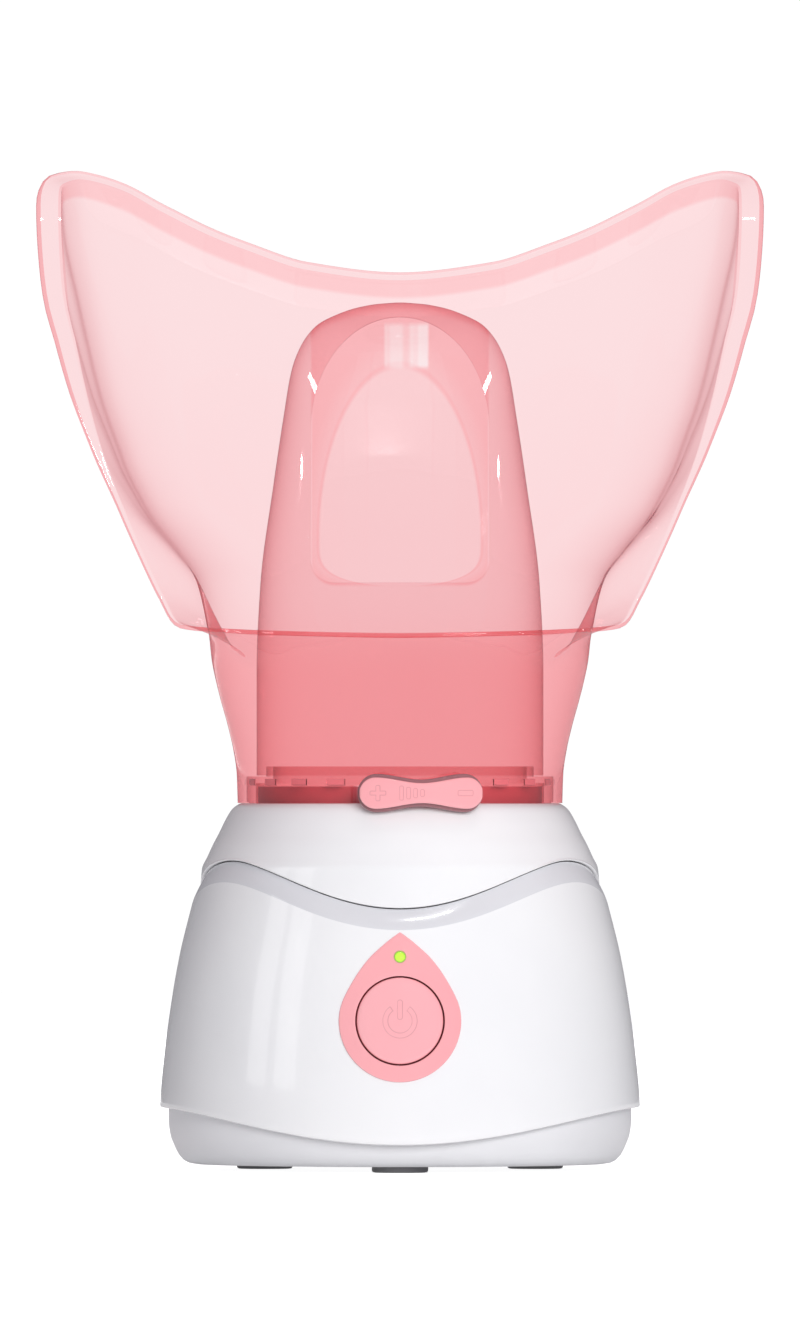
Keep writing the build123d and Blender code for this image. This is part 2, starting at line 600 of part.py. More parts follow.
def mask_base_radius(angle, z):
    """Radius of the tray's cross-section at a height, before the rim flares."""
    if z <= HALF_WIDTHS[0][0]:
        return interp(NECK_RADII, z)
    a = math.radians(angle)
    n = interp(SQUARENESS, z)
    depth = interp(BACK_DEPTHS, z) if angle > 90 else HALF_WIDTHS[0][1]
    across = abs(math.sin(a)) / interp(HALF_WIDTHS, z)
    return (across**n + (abs(math.cos(a)) / depth)**n)**(-1 / n)


def mask_surface(angle, v):
    angle = abs(angle) if angle <= 180 else angle
    folded = min(angle, 360 - angle)
    top = interp(RIM_HEIGHTS, folded)
    z = MASK_BOTTOM + (top - MASK_BOTTOM) * v
    flare = max(0.0, (z - FLARE_START) / (top - FLARE_START))**2
    spread = interp(RIM_RADII, folded) - mask_base_radius(folded, top)
    radius = mask_base_radius(folded, z) + spread * flare
    step = max(0.0, (v - TRAY_STEP_START) / (1 - TRAY_STEP_START))**1.5
    return around(radius, angle, z) + MOUTH_NORMAL * TRAY_STEP * step * ramp(folded, *TRAY_STEP_ANGLES)


def mask_outer(angle, v):
    side = -1 if angle < 0 else 1
    point = mask_surface(abs(angle), v)
    return Vector(side * point.X, point.Y, point.Z)


def mask_inner(angle, v):
    inward = mask_outer(angle, v) - normal_of(mask_outer, angle, v) * WALL
    return inward + MOUTH_NORMAL * FLANGE_T * max(0.0, (v - 0.9) / 0.1)**2


def flange_edge(height):
    def edge(angle):
        along = mask_outer(angle + 0.5, 1) - mask_outer(angle - 0.5, 1)
        outward = along.cross(MOUTH_NORMAL).normalized()
        return mask_outer(angle, 1) + outward * interp(FLANGE_WIDTHS, angle) + MOUTH_NORMAL * height
    return edge


mask_rows = [i / 32 for i in range(33)]
mask = skin(mask_outer, mask_inner, mask_rows, 61, [flange_edge(0), flange_edge(FLANGE_T)])
notch = sector(30, 60, 100, NOTCH_TOP, 0, NOTCH_HALF_ANGLE)
parts["face_mask"] = mask - notch
collar = turned([(SPIGOT_R_IN, SPIGOT_BOTTOM), (SPIGOT_R, SPIGOT_BOTTOM), (SPIGOT_R, MASK_BOTTOM),
                 (RING_R, MASK_BOTTOM), (RING_R, LEDGE_TOP), (HOOD_LIP_R, LEDGE_TOP),
                 (HOOD_LIP_R, HOOD_LIP_TOP), (LEDGE_R_IN, HOOD_LIP_TOP), (LEDGE_R_IN, LEDGE_BOTTOM),
                 (SPIGOT_R_IN, LEDGE_BOTTOM)])
parts["mask_ring"] = collar - notch

# ---- steam hood ----


def hood_point(angle, z):
    a = math.radians(angle)
    front, back = -interp(HOOD_FRONTS, z), interp(HOOD_BACKS, z)
    y = (front + back) / 2 - (back - front) / 2 * math.cos(a)
    return Vector(interp(HOOD_HALF_WIDTHS, z) * math.sin(a), y, z)


def hood_surface(inset):
    top = HOOD_TOP - inset

    def surface(angle, v):
        rise = math.sin(math.pi / 2 * v)
        z = HOOD_BOTTOM + (top - HOOD_BOTTOM) * rise
        outer_z = HOOD_BOTTOM + (HOOD_TOP - HOOD_BOTTOM) * rise
        point = hood_point(angle, outer_z)
        centre = (hood_point(0, outer_z) + hood_point(180, outer_z)) * 0.5
        spread = point - centre
        scale = max(0.35, 1 - inset / spread.length) if spread.length > 0 else 1
        return Vector(centre.X + spread.X * scale, centre.Y + spread.Y * scale, z)
    return surface


hood_rows = [i / 30 for i in range(31)]
outer_hood, inner_hood = hood_surface(0), hood_surface(HOOD_WALL)
angles = [5 * i for i in range(37)]


def hood_faces(surface):
    wall = lofted([[(0 if a in (0, 180) else surface(a, v).X, surface(a, v).Y, surface(a, v).Z)
                    for a in angles] for v in hood_rows])
    ends = sorted(wall.edges(), key=lambda e: e.position_at(0.5).Z)
    tip = ends[-1]
    cap = make_face([tip, Line(tip @ 1, tip @ 0)])
    return wall, ends[0], cap


outer_wall, outer_end, outer_cap = hood_faces(outer_hood)
inner_wall, inner_end, inner_cap = hood_faces(inner_hood)
half = [outer_wall, inner_wall, outer_cap.faces()[0], inner_cap.faces()[0],
        Face.make_surface_from_curves(outer_end, inner_end)]
hood = closed(half)
w = WINDOW_HALF_WIDTH
corner_z = WINDOW_BOTTOM + WINDOW_CORNER
window = [
    Line((-w + WINDOW_CORNER, 0, WINDOW_BOTTOM), (w - WINDOW_CORNER, 0, WINDOW_BOTTOM)),
    Line((w, 0, corner_z), (w, 0, WINDOW_SHOULDER)),
    Line((-w, 0, corner_z), (-w, 0, WINDOW_SHOULDER)),
]
for s in (-1, 1):
    window.append(ThreePointArc((s * (w - WINDOW_CORNER), 0, WINDOW_BOTTOM),
                                (s * (w - 0.293 * WINDOW_CORNER), 0, WINDOW_BOTTOM + 0.293 * WINDOW_CORNER),
                                (s * w, 0, corner_z)))
arch = [(w * math.cos(math.radians(t)), 0,
         WINDOW_SHOULDER + (WINDOW_TOP - WINDOW_SHOULDER) * math.sin(math.radians(t)))
        for t in range(0, 181, 15)]
window.append(Spline(*arch, tangents=[(0, 0, 1), (0, 0, -1)]))
hood -= forward(window, -WINDOW_DEPTH, 60)
parts["steam_hood"] = hood

# ---- export ----

os.makedirs("parts", exist_ok=True)
for name, shape in parts.items():
    export_step(shape, f"parts/{name}.step")
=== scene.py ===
import json
import math

import bmesh
import bpy
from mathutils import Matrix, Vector


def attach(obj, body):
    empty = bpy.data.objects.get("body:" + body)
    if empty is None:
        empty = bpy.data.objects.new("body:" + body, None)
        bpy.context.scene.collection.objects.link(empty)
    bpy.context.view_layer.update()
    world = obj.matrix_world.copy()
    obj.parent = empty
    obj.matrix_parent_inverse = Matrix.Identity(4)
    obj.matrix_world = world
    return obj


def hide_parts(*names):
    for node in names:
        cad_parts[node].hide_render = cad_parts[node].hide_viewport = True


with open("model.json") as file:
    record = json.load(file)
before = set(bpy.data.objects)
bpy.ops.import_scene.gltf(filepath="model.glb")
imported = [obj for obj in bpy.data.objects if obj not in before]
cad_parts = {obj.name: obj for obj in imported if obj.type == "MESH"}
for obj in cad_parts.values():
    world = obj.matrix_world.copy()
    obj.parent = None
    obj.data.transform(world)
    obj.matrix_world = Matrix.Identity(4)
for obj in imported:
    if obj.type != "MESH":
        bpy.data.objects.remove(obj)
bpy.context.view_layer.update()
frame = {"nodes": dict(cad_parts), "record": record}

# Lengths are in metres in the row frame; the outline tables are in millimetres. Angles go round
# from the front (-Y) towards +X.
MM = 0.001
AROUND = 256

# ---- outlines ----

WALL = 2.2
BODY_RADII = [(8, 72.1), (18.5, 72.0), (36, 70.5), (51, 68.5), (65, 66.0), (79.6, 62.4), (91, 59.4)]
BODY_HEM_HIGH = 18.8
BODY_HEM_DROP = 10.4
BEVEL_HEIGHT = 6.2
BEVEL_STEP = 0.8
BEVEL_START = 0.8
BEVEL_NEAR = 0.003
COVER_RADII = [(78.5, 60.4), (85.8, 59.8), (90.4, 59.4), (94, 57.75), (97.6, 56.1), (101, 54.3),
               (105, 52.35), (108.4, 50.2), (110, 48.0)]
COVER_TOP = 110.0
WAVE_MIDDLE = 85.8
WAVE_HEIGHT = 7.05
WAVE_COUNT = 3
HEM_GAP = 0.35

BEZEL_Z = 45.4
BEZEL_R = 18.2
BEZEL_HALF = [(0, 71.7), (3.2, 69.4), (6.0, 67.0), (8.6, 64.6), (11.4, 61.2), (13.9, 57.4),
              (16.0, 53.6), (17.4, 50.4), (18.1, 47.2), (18.2, 45.4)]
BUTTON_R = 12.85
BUTTON_HOLE_R = 13.3
BEZEL_PROUD = 0.5
BEZEL_EDGE_PROUD = 0.44
BUTTON_PROUD = 0.35
LED_Z = 64.4
LED_R = 1.5
LED_HEIGHT = 0.55
FOOT_CIRCLE_R = 47.0

MASK_BOTTOM = 110.05
NECK_RADII = [(110, 48.7), (119, 49.0), (126, 50.0), (133, 51.6), (141, 53.8),
              (147, 55.3), (153, 56.5), (160, 57.2)]
HALF_WIDTHS = [(160, 57.2), (177, 61), (186, 67), (196, 75), (203, 79), (210, 82.5), (218, 85.5),
               (232, 90.5), (250, 95), (261, 97.5), (283, 102), (299, 103)]
BACK_DEPTHS = [(160, 57.2), (180, 62), (200, 66), (225, 70), (250, 73), (268, 75), (299, 77)]
SQUARENESS = [(160, 2.0), (200, 3.0)]
RIM_HEIGHTS = [(-30, 161.2), (0, 160.6), (30, 161.2), (48, 163), (56, 171), (65, 196), (75, 218),
               (86, 246), (91, 261), (97, 279),
               (101, 290), (106, 296), (112, 297), (123, 292.8), (132, 286.3), (139, 280.3),
               (147, 275.3), (158.5, 269.3), (180, 266), (201.5, 269.3)]
RIM_RADII = [(-30, 69), (0, 62), (30, 69), (48, 86.5), (56, 84.5), (65, 90), (75.7, 93.2),
             (86.5, 97.2), (91, 100.2),
             (97, 102.5), (101, 103.9), (106, 105.5), (112, 105.2), (123, 100.2), (132, 96.6),
             (139, 91.0), (147, 86.6), (158.5, 79.4), (180, 75), (201.5, 79.4)]
FLARE_START = 148.0
FLANGE_WIDTHS = [(0, 2.0), (54, 1.8), (65, 1.9), (75, 3.4), (82, 5.2), (91, 6.6), (101, 7.2),
                 (108, 4.5), (118, 2.0), (180, 2.0)]
FLANGE_T = 2.2
TRAY_STEP = 4.5
TRAY_STEP_ANGLES = (103, 124)
TRAY_STEP_START = 0.94
MOUTH_NORMAL = Vector((0, -0.853, 0.522))
NOTCH_HALF_ANGLE = 17.5
NOTCH_TOP = 115.2
TAB_R = 46.05
TAB_PROUD = 0.25
TAB_CHAMFER = 0.2
TAB_COUNT = 22
TAB_HALF_ANGLE = 3.6
TAB_LOW = 115.3
TAB_HIGH = 117.3

HOOD_BOTTOM = 118.3
HOOD_TOP = 260.6
HOOD_WALL = 2.4
HOOD_HALF_WIDTHS = [(118, 43), (150, 43), (175.7, 41.9), (205.7, 38), (226, 35), (239.6, 32.7),
                    (246.5, 30.3), (253.4, 25.4), (258, 16.4), (260, 8.2), (260.6, 1.6)]
HOOD_FRONTS = [(118, 43), (160, 43), (180, 39.5), (206, 33), (226, 26.2), (240, 20), (250, 9),
               (256, -3), (260, -12), (260.6, -16.6)]
HOOD_BACKS = [(118, 43), (160, 43.4), (206, 43.8), (230, 42.8), (246, 39.5), (253.4, 34.5), (258, 28),
              (260, 22.5), (260.6, 19.8)]
WINDOW_HALF_WIDTH = 26.7
WINDOW_BOTTOM = 175.8
WINDOW_SHOULDER = 222.0
WINDOW_TOP = 256.0
WINDOW_CORNER = 7.0
WINDOW_DEPTH = 12.0

KNOB_ANGLE = 6.85
KNOB_Z = 113.0
KNOB_R = 51.8
KNOB_BACK_R = 54.0
KNOB_FACE_R = 56.0
KNOB_LENGTH = 38.7
KNOB_HEIGHT = 11.4
KNOB_WAIST = 8.0
KNOB_RIM = 1.0
KNOB_SUNK = 0.2

# ---- mesh helpers ----


def interp(table, x):
    """Smooth curve through (x, y) pairs that never swings past them."""
    xs = [pair[0] for pair in table]
    ys = [pair[1] for pair in table]
    if x <= xs[0]:
        return ys[0]
    if x >= xs[-1]:
        return ys[-1]
    steps = [(ys[i + 1] - ys[i]) / (xs[i + 1] - xs[i]) for i in range(len(xs) - 1)]
    slopes = [steps[0]]
    for before, after in zip(steps, steps[1:]):
        slopes.append(0 if before * after <= 0 else 2 * before * after / (before + after))
    slopes.append(steps[-1])
    i = next(k for k in range(len(steps)) if x <= xs[k + 1])
    h = xs[i + 1] - xs[i]
    t = (x - xs[i]) / h
    return ((2 * t**3 - 3 * t**2 + 1) * ys[i] + (t**3 - 2 * t**2 + t) * h * slopes[i]
            + (-2 * t**3 + 3 * t**2) * ys[i + 1] + (t**3 - t**2) * h * slopes[i + 1])


def ramp(x, low, high):
    """0 below low, 1 above high, smooth between."""
    t = min(1.0, max(0.0, (x - low) / (high - low)))
    return t * t * (3 - 2 * t)


def around(radius, angle, z):
    """Point in millimetres at an angle counted from the front, in degrees."""
    a = math.radians(angle)
    return Vector((radius * math.sin(a), -radius * math.cos(a), z))


def spaced(low, high, count):
    return [low + (high - low) * i / (count - 1) for i in range(count)]


def finish_mesh(name, mesh, materials, sharp=35):
    for material in materials:
        mesh.materials.append(material)
    mesh.polygons.foreach_set("use_smooth", [True] * len(mesh.polygons))
    mesh.set_sharp_from_angle(angle=math.radians(sharp))
    piece = bpy.data.objects.new(name, mesh)
    bpy.context.scene.collection.objects.link(piece)
    return piece


def grid_mesh(name, rows, materials, loop=True, slots=None, sharp=35, uvs=None):
    """Mesh over rows of points in millimetres. slots gives a material index for each strip."""
    mesh = bpy.data.meshes.new(name)
    width = len(rows[0])
    points = [point * MM for row in rows for point in row]
    faces = []
    indices = []
    for r in range(len(rows) - 1):
        for c in range(width if loop else width - 1):
            d = (c + 1) % width
            faces.append((r * width + c, r * width + d, (r + 1) * width + d, (r + 1) * width + c))
            indices.append(slots[r] if slots else 0)
    mesh.from_pydata(points, [], faces)
    mesh.polygons.foreach_set("material_index", indices)
    if uvs:
        layer = mesh.uv_layers.new(name="flat")
        flat = [uv for row in uvs for uv in row]
        for corner in mesh.loops:
            layer.data[corner.index].uv = flat[corner.vertex_index]
    bm = bmesh.new()
    bm.from_mesh(mesh)
    bmesh.ops.remove_doubles(bm, verts=bm.verts, dist=1e-6)
    bmesh.ops.recalc_face_normals(bm, faces=bm.faces)
    bm.to_mesh(mesh)
    bm.free()
    return finish_mesh(name, mesh, materials, sharp)


def lathe(name, outline, materials, x=0.0, y=0.0, sharp=35):
    """Turned piece about a vertical axis, from (radius, height) corners."""
    rows = []
    for radius, z in outline:
        rows.append([around(radius, 360 * i / AROUND, z) + Vector((x, y, 0)) for i in range(AROUND)])
    return grid_mesh(name, rows, materials, sharp=sharp)


def cut(piece, cutter):
    """Takes cutter's volume out of piece for good."""
    modifier = piece.modifiers.new("cut", "BOOLEAN")
    modifier.object = cutter
    modifier.operation = "DIFFERENCE"
    modifier.solver = "EXACT"
    modifier.material_mode = "TRANSFER"
    bpy.context.view_layer.update()
    evaluated = piece.evaluated_get(bpy.context.evaluated_depsgraph_get())
    result = bpy.data.meshes.new_from_object(evaluated)
    piece.modifiers.clear()
    piece.data = result
    bpy.data.objects.remove(cutter)


def prism(name, outline, near, far, material):
    """Prism of an XZ outline in millimetres, from y = -near to y = -far."""
    rows = [[Vector((x, -y, z)) for x, z in outline] for y in (near, far)]
    piece = grid_mesh(name, rows, [material])
    bm = bmesh.new()
    bm.from_mesh(piece.data)
    bmesh.ops.holes_fill(bm, edges=bm.edges)
    bmesh.ops.recalc_face_normals(bm, faces=bm.faces)
    bm.to_mesh(piece.data)
    bm.free()
    return piece


def place(piece, body, slot, *nodes):
    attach(piece, body)
    if nodes:
        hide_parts(*nodes)
    return piece


# ---- materials ----


def srgb(r, g, b):
    """Linear colour of an 8-bit one."""
    def line(v):
        v /= 255
        return v / 12.92 if v <= 0.04045 else ((v + 0.055) / 1.055)**2.4
    return (line(r), line(g), line(b), 1)


class Nodes:
    """Short ways to add and join a material's nodes."""

    def __init__(self, name):
        self.material = bpy.data.materials.new(name)
        self.material.use_nodes = True
        self.tree = self.material.node_tree
        self.tree.nodes.clear()
        self.out = self.tree.nodes.new("ShaderNodeOutputMaterial")

    def add(self, kind, **sockets):
        node = self.tree.nodes.new(kind)
        for key, value in sockets.items():
            self.set(node, key.replace("_", " "), value)
        return node

    def set(self, node, key, value):
        socket = node.inputs[key]
        if isinstance(value, bpy.types.NodeSocket):
            self.tree.links.new(value, socket)
        else:
            socket.default_value = value

    def math(self, operation, a, b=0.0):
        node = self.tree.nodes.new("ShaderNodeMath")
        node.operation = operation
        self.set(node, 0, a)
        self.set(node, 1, b)
        return node.outputs[0]

    def between(self, value, low, high, to_low, to_high):
        node = self.add("ShaderNodeMapRange", Value=value)
        node.interpolation_type = "SMOOTHSTEP"
        self.set(node, 1, low)
        self.set(node, 2, high)
        self.set(node, 3, to_low)
        self.set(node, 4, to_high)
        return node.outputs[0]

    def noise(self, scale, detail=3.0, stretch=None):
        at = self.add("ShaderNodeTexCoord").outputs["Object"]
        if stretch:
            at = self.add("ShaderNodeMapping", Vector=at, Scale=stretch).outputs[0]
        return self.add("ShaderNodeTexNoise", Vector=at, Scale=scale, Detail=detail).outputs["Fac"]

    def mix(self, factor, a, b):
        node = self.tree.nodes.new("ShaderNodeMix")
        node.data_type = "RGBA"
        self.set(node, 0, factor)
        self.set(node, 6, a)
        self.set(node, 7, b)
        return node.outputs[2]

    def bump(self, height, strength, distance):
        node = self.add("ShaderNodeBump", Height=height, Strength=strength, Distance=distance)
        return node.outputs[0]

    def finish(self, shader):
        self.tree.links.new(shader, self.out.inputs["Surface"])
        return self.material


COAT_ROUGHNESS = 0.03


def moulded(name, colour, shade, roughness, coat=0.0, grain=900.0, depth=0.00001):
    """Moulded plastic or rubber: a faint mottle in colour and polish over a fine grain."""
    n = Nodes(name)
    mottle = n.noise(18.0)
    base = n.mix(n.between(mottle, 0.35, 0.7, 0.0, 1.0), colour, shade)
    polish = n.between(n.noise(45.0, 4.0), 0.3, 0.7, roughness * 0.85, roughness * 1.15)
    normal = n.bump(n.noise(grain, 2.0), 0.15, depth)
    shader = n.add("ShaderNodeBsdfPrincipled", Base_Color=base, Roughness=polish, Normal=normal,
                   Coat_Weight=coat, Coat_Roughness=COAT_ROUGHNESS)
    return n.finish(shader.outputs[0])


def brushed(name, colour, roughness):
    n = Nodes(name)
    lines = n.noise(260.0, 4.0, (1.0, 1.0, 14.0))
    polish = n.between(lines, 0.3, 0.7, roughness * 0.7, roughness * 1.3)
    base = n.mix(lines, colour, tuple(0.8 * c for c in colour[:3]) + (1,))
    shader = n.add("ShaderNodeBsdfPrincipled", Base_Color=base, Roughness=polish, Metallic=1.0,
                   Normal=n.bump(lines, 0.2, 0.00002))
    return n.finish(shader.outputs[0])


PINK_WALL = srgb(254, 224, 226)
MIRROR_FACE_ON = 0.045
MIRROR_EDGE_ON = 0.45

NECK_LOW_Z = 0.146
NECK_HIGH_Z = 0.176
TINT_END_Z = 0.262
UPPER_TINT = 0.17
NECK_TINT = 0.3
RIM_BAND = (0.972, 0.98)
RIM_BAND_SIDES = (0.2, 0.3)
RIM_TINT = 0.75

OVAL_Z = 0.190
OVAL_HALF_WIDTH = 0.0243
OVAL_UP = 0.0515
OVAL_DOWN = 0.0145
OVAL_EDGE = (0.97, 1.07)
OVAL_AROUND = (1.0, 1.5)
OVAL_EDGE_TINT = 0.55
OVAL_AROUND_TINT = 0.35
OVAL_LINE = 1.03
OVAL_LINE_WIDTH = 0.07
OVAL_LINE_TINT = 0.4
PANEL_BACK_Y = (0.004, 0.012)
PANEL_EDGE_SOFT = 0.0006
# Painted reflection streaks on the dome's back wall: a negative tint makes them lighter.
GLARE_LOW_Z = (0.2405, 0.2425)
GLARE_HIGH_Z = (0.2535, 0.2555)
GLARE_X = 0.002
GLARE_SIDES = (0.006, 0.0072)
GLARE_TINT = -1.5


def object_place(n):
    """X, Y and Z of a point of the piece, in metres."""
    at = n.add("ShaderNodeTexCoord").outputs["Object"]
    return n.add("ShaderNodeSeparateXYZ", Vector=at).outputs


def mask_tint(n):
    """The mask's wall thickens towards its neck, and in a band just inside its rim."""
    height = object_place(n)[2]
    upper = n.between(height, NECK_HIGH_Z, TINT_END_Z, UPPER_TINT, 0.0)
    neck = n.between(height, NECK_LOW_Z, NECK_HIGH_Z, NECK_TINT, 0.0)
    flat = n.add("ShaderNodeSeparateXYZ", Vector=n.add("ShaderNodeUVMap").outputs[0])
    rim = n.between(flat.outputs[1], *RIM_BAND, 0.0, RIM_TINT)
    behind = n.between(flat.outputs[0], *RIM_BAND_SIDES, 0.0, 1.0)
    return n.math("ADD", n.math("ADD", upper, neck), n.math("MULTIPLY", rim, behind))


def oval_tint(n, x, z):
    """Further tint round an oval, with a line along its edge."""
    across = n.math("POWER", n.math("DIVIDE", n.math("ABSOLUTE", x), OVAL_HALF_WIDTH), 2.0)
    above = n.math("MAXIMUM", n.math("DIVIDE", n.math("SUBTRACT", z, OVAL_Z), OVAL_UP), 0.0)
    below = n.math("MAXIMUM", n.math("DIVIDE", n.math("SUBTRACT", OVAL_Z, z), OVAL_DOWN), 0.0)
    upright = n.math("ADD", n.math("POWER", above, 2.0), n.math("POWER", below, 4.0))
    oval = n.math("ADD", across, upright)
    edge = n.between(oval, *OVAL_EDGE, 0.0, OVAL_EDGE_TINT)
    beyond = n.between(oval, *OVAL_AROUND, 0.0, OVAL_AROUND_TINT)
    from_line = n.math("ABSOLUTE", n.math("SUBTRACT", oval, OVAL_LINE))
    line = n.between(from_line, 0.0, OVAL_LINE_WIDTH, OVAL_LINE_TINT, 0.0)
    return n.math("ADD", n.math("ADD", edge, beyond), line)


def inside_panel(n, x, z):
    """1 within the window's round-cornered outline on the back wall, 0 outside it."""
    corner_x = (WINDOW_HALF_WIDTH - WINDOW_CORNER) * MM
    corner_z = (WINDOW_BOTTOM + WINDOW_CORNER) * MM
    past_side = n.math("MAXIMUM", n.math("SUBTRACT", n.math("ABSOLUTE", x), corner_x), 0.0)
    past_foot = n.math("MAXIMUM", n.math("SUBTRACT", corner_z, z), 0.0)
    reach = n.math("ADD", n.math("POWER", past_side, 2.0), n.math("POWER", past_foot, 2.0))
    soft_from = WINDOW_CORNER * MM - PANEL_EDGE_SOFT
    soft_to = WINDOW_CORNER * MM + PANEL_EDGE_SOFT
    return n.between(n.math("SQRT", reach), soft_from, soft_to, 1.0, 0.0)


def dome_glare(n, x, z):
    """Painted reflection: upright lighter streaks where the dome would mirror a window."""
    low = n.between(z, *GLARE_LOW_Z, 0.0, 1.0)
    high = n.between(z, *GLARE_HIGH_Z, 1.0, 0.0)
    streaks = n.math("MULTIPLY", low, high)
    wave = n.between(n.noise(220.0, 1.0, (1.0, 0.0, 0.0)), 0.35, 0.6, 0.3, 1.0)
    middle = n.between(n.math("ABSOLUTE", n.math("SUBTRACT", x, GLARE_X)), *GLARE_SIDES, 1.0, 0.0)
    return n.math("MULTIPLY", n.math("MULTIPLY", streaks, middle), n.math("MULTIPLY", wave, GLARE_TINT))


def hood_tint(n):
    """The dome's back wall is thinner in an oval panel that shows through the window, and carries painted
    reflection streaks near its top.
    """
    x, y, z = object_place(n)
    tint = n.math("ADD", oval_tint(n, x, z), dome_glare(n, x, z))
    back = n.between(y, *PANEL_BACK_Y, 0.0, 1.0)
    return n.math("MULTIPLY", n.math("MULTIPLY", tint, back), inside_panel(n, x, z))


def clear_pink(name, layers, edge_layers, extra=None):
    """Clear tinted plastic. layers counts wall thicknesses of tint seen face on, edge_layers edge on.

    extra(n), if given, is the further tint at a point.
    """
    n = Nodes(name)
    facing = n.add("ShaderNodeLayerWeight", Blend=0.5).outputs["Facing"]
    count = n.math("ADD", layers, extra(n)) if extra else layers
    edge = n.math("MULTIPLY", n.math("POWER", facing, 3.0), edge_layers - layers)
    flow = n.between(n.noise(9.0, 2.0), 0.3, 0.7, -0.02, 0.02)
    total = n.math("ADD", n.math("ADD", count, edge), flow)
    tint = n.add("ShaderNodeCombineColor")
    for i in range(3):
        n.set(tint, i, n.math("POWER", PINK_WALL[i], total))
    clear = n.add("ShaderNodeBsdfTransparent", Color=tint.outputs[0])
    gloss = n.add("ShaderNodeBsdfPrincipled", Base_Color=(1, 1, 1, 1), Metallic=1.0,
                  Roughness=n.between(n.noise(30.0), 0.3, 0.7, 0.02, 0.05),
                  Normal=n.bump(n.noise(14.0, 1.0), 0.1, 0.0002))
    grazing = n.math("MULTIPLY", n.math("POWER", facing, 4.0), MIRROR_EDGE_ON)
    mirror = n.math("ADD", grazing, MIRROR_FACE_ON)
    mixed = n.add("ShaderNodeMixShader", Fac=mirror)
    n.set(mixed, 1, clear.outputs[0])
    n.set(mixed, 2, gloss.outputs[0])
    return n.finish(mixed.outputs[0])


WHITE = moulded("white_plastic", (0.93, 0.93, 0.94, 1), (0.9, 0.9, 0.915, 1), 0.22, coat=0.6)
PAN = moulded("pan_plastic", (0.84, 0.84, 0.86, 1), (0.8, 0.8, 0.82, 1), 0.35)
INNER = moulded("inner_plastic", (0.8, 0.8, 0.79, 1), (0.76, 0.76, 0.75, 1), 0.45)
BLACK = moulded("black_plastic", (0.02, 0.02, 0.02, 1), (0.03, 0.03, 0.03, 1), 0.4)
# Greyer white for the body's bevel strip: painted shade, where the upward-facing bevel gets less light.
BEVEL_SHADED_WHITE = moulded("bevel_painted_shade", srgb(226, 226, 230), srgb(221, 221, 226), 0.16, coat=0.8)
PINK_CLEAR = clear_pink("pink_clear", 1.0, 2.6, mask_tint)
PINK_RIM = clear_pink("pink_rim", 1.05, 2.2)
PINK_TIP = clear_pink("pink_tip", 1.5, 2.2)
HOOD_CLEAR = clear_pink("hood_clear", 0.58, 1.9, hood_tint)
HOOD_EDGE = clear_pink("hood_edge", 1.3, 2.2)
RING_CLEAR = clear_pink("ring_clear", 0.6, 1.4)
PINK_DEEP = moulded("pink_deep", srgb(240, 158, 168), srgb(232, 148, 158), 0.2, coat=0.5)
PINK_GLOSS = moulded("pink_gloss", srgb(255, 178, 183), srgb(252, 172, 178), 0.2, coat=0.8)
TAB_PINK = moulded("tab_pink", srgb(250, 176, 182), srgb(246, 168, 175), 0.15, coat=0.8)
# Darker mauve for the knob's backing and sides: painted shade on what is the same plastic as the pink
# face.
MAUVE_SHADE = moulded("knob_mauve", srgb(160, 110, 115), srgb(150, 102, 108), 0.3)
# Dark maroon that stands in for the shade inside gaps: painted shade.
GAP_SHADE = moulded("gap_shade", srgb(110, 40, 46), srgb(96, 32, 38), 0.5)
BOARD = moulded("board_green", (0.02, 0.16, 0.06, 1), (0.02, 0.12, 0.05, 1), 0.35)
WIRE = moulded("wire_sleeve", (0.5, 0.5, 0.5, 1), (0.45, 0.45, 0.45, 1), 0.5)
RUBBER = moulded("foot_rubber", srgb(146, 145, 148), srgb(132, 131, 135), 0.7, grain=1500.0,
                 depth=0.00004)
SILICONE = moulded("silicone", (0.75, 0.75, 0.74, 1), (0.7, 0.7, 0.69, 1), 0.5)
ALUMINIUM = brushed("cup_aluminium", (0.8, 0.8, 0.82, 1), 0.28)
CAST = brushed("heater_metal", (0.55, 0.55, 0.56, 1), 0.45)
STEEL = brushed("screw_steel", (0.6, 0.6, 0.62, 1), 0.3)
BRASS = brushed("pin_brass", (0.75, 0.55, 0.25, 1), 0.3)


def lens():
    n = Nodes("green_lens")
    facing = n.add("ShaderNodeLayerWeight", Blend=0.5).outputs["Facing"]
    glow = n.mix(n.between(facing, 0.05, 0.7, 0.0, 1.0), srgb(178, 252, 70), srgb(96, 168, 38))
    shade = n.mix(n.noise(600.0), (1, 1, 1, 1), (0.92, 0.92, 0.92, 1))
    lit = n.tree.nodes.new("ShaderNodeMix")
    lit.data_type = "RGBA"
    lit.blend_type = "MULTIPLY"
    n.set(lit, 0, 1.0)
    n.set(lit, 6, glow)
    n.set(lit, 7, shade)
    shader = n.add("ShaderNodeBsdfPrincipled", Base_Color=lit.outputs[2], Roughness=0.15,
                   Emission_Color=lit.outputs[2], Emission_Strength=0.6)
    return n.finish(shader.outputs[0])


LENS = lens()


MARK_SOFT = 0.00012
MARK_SHADE_WIDTH = 0.00022
MARK_DEPTH = 0.00015


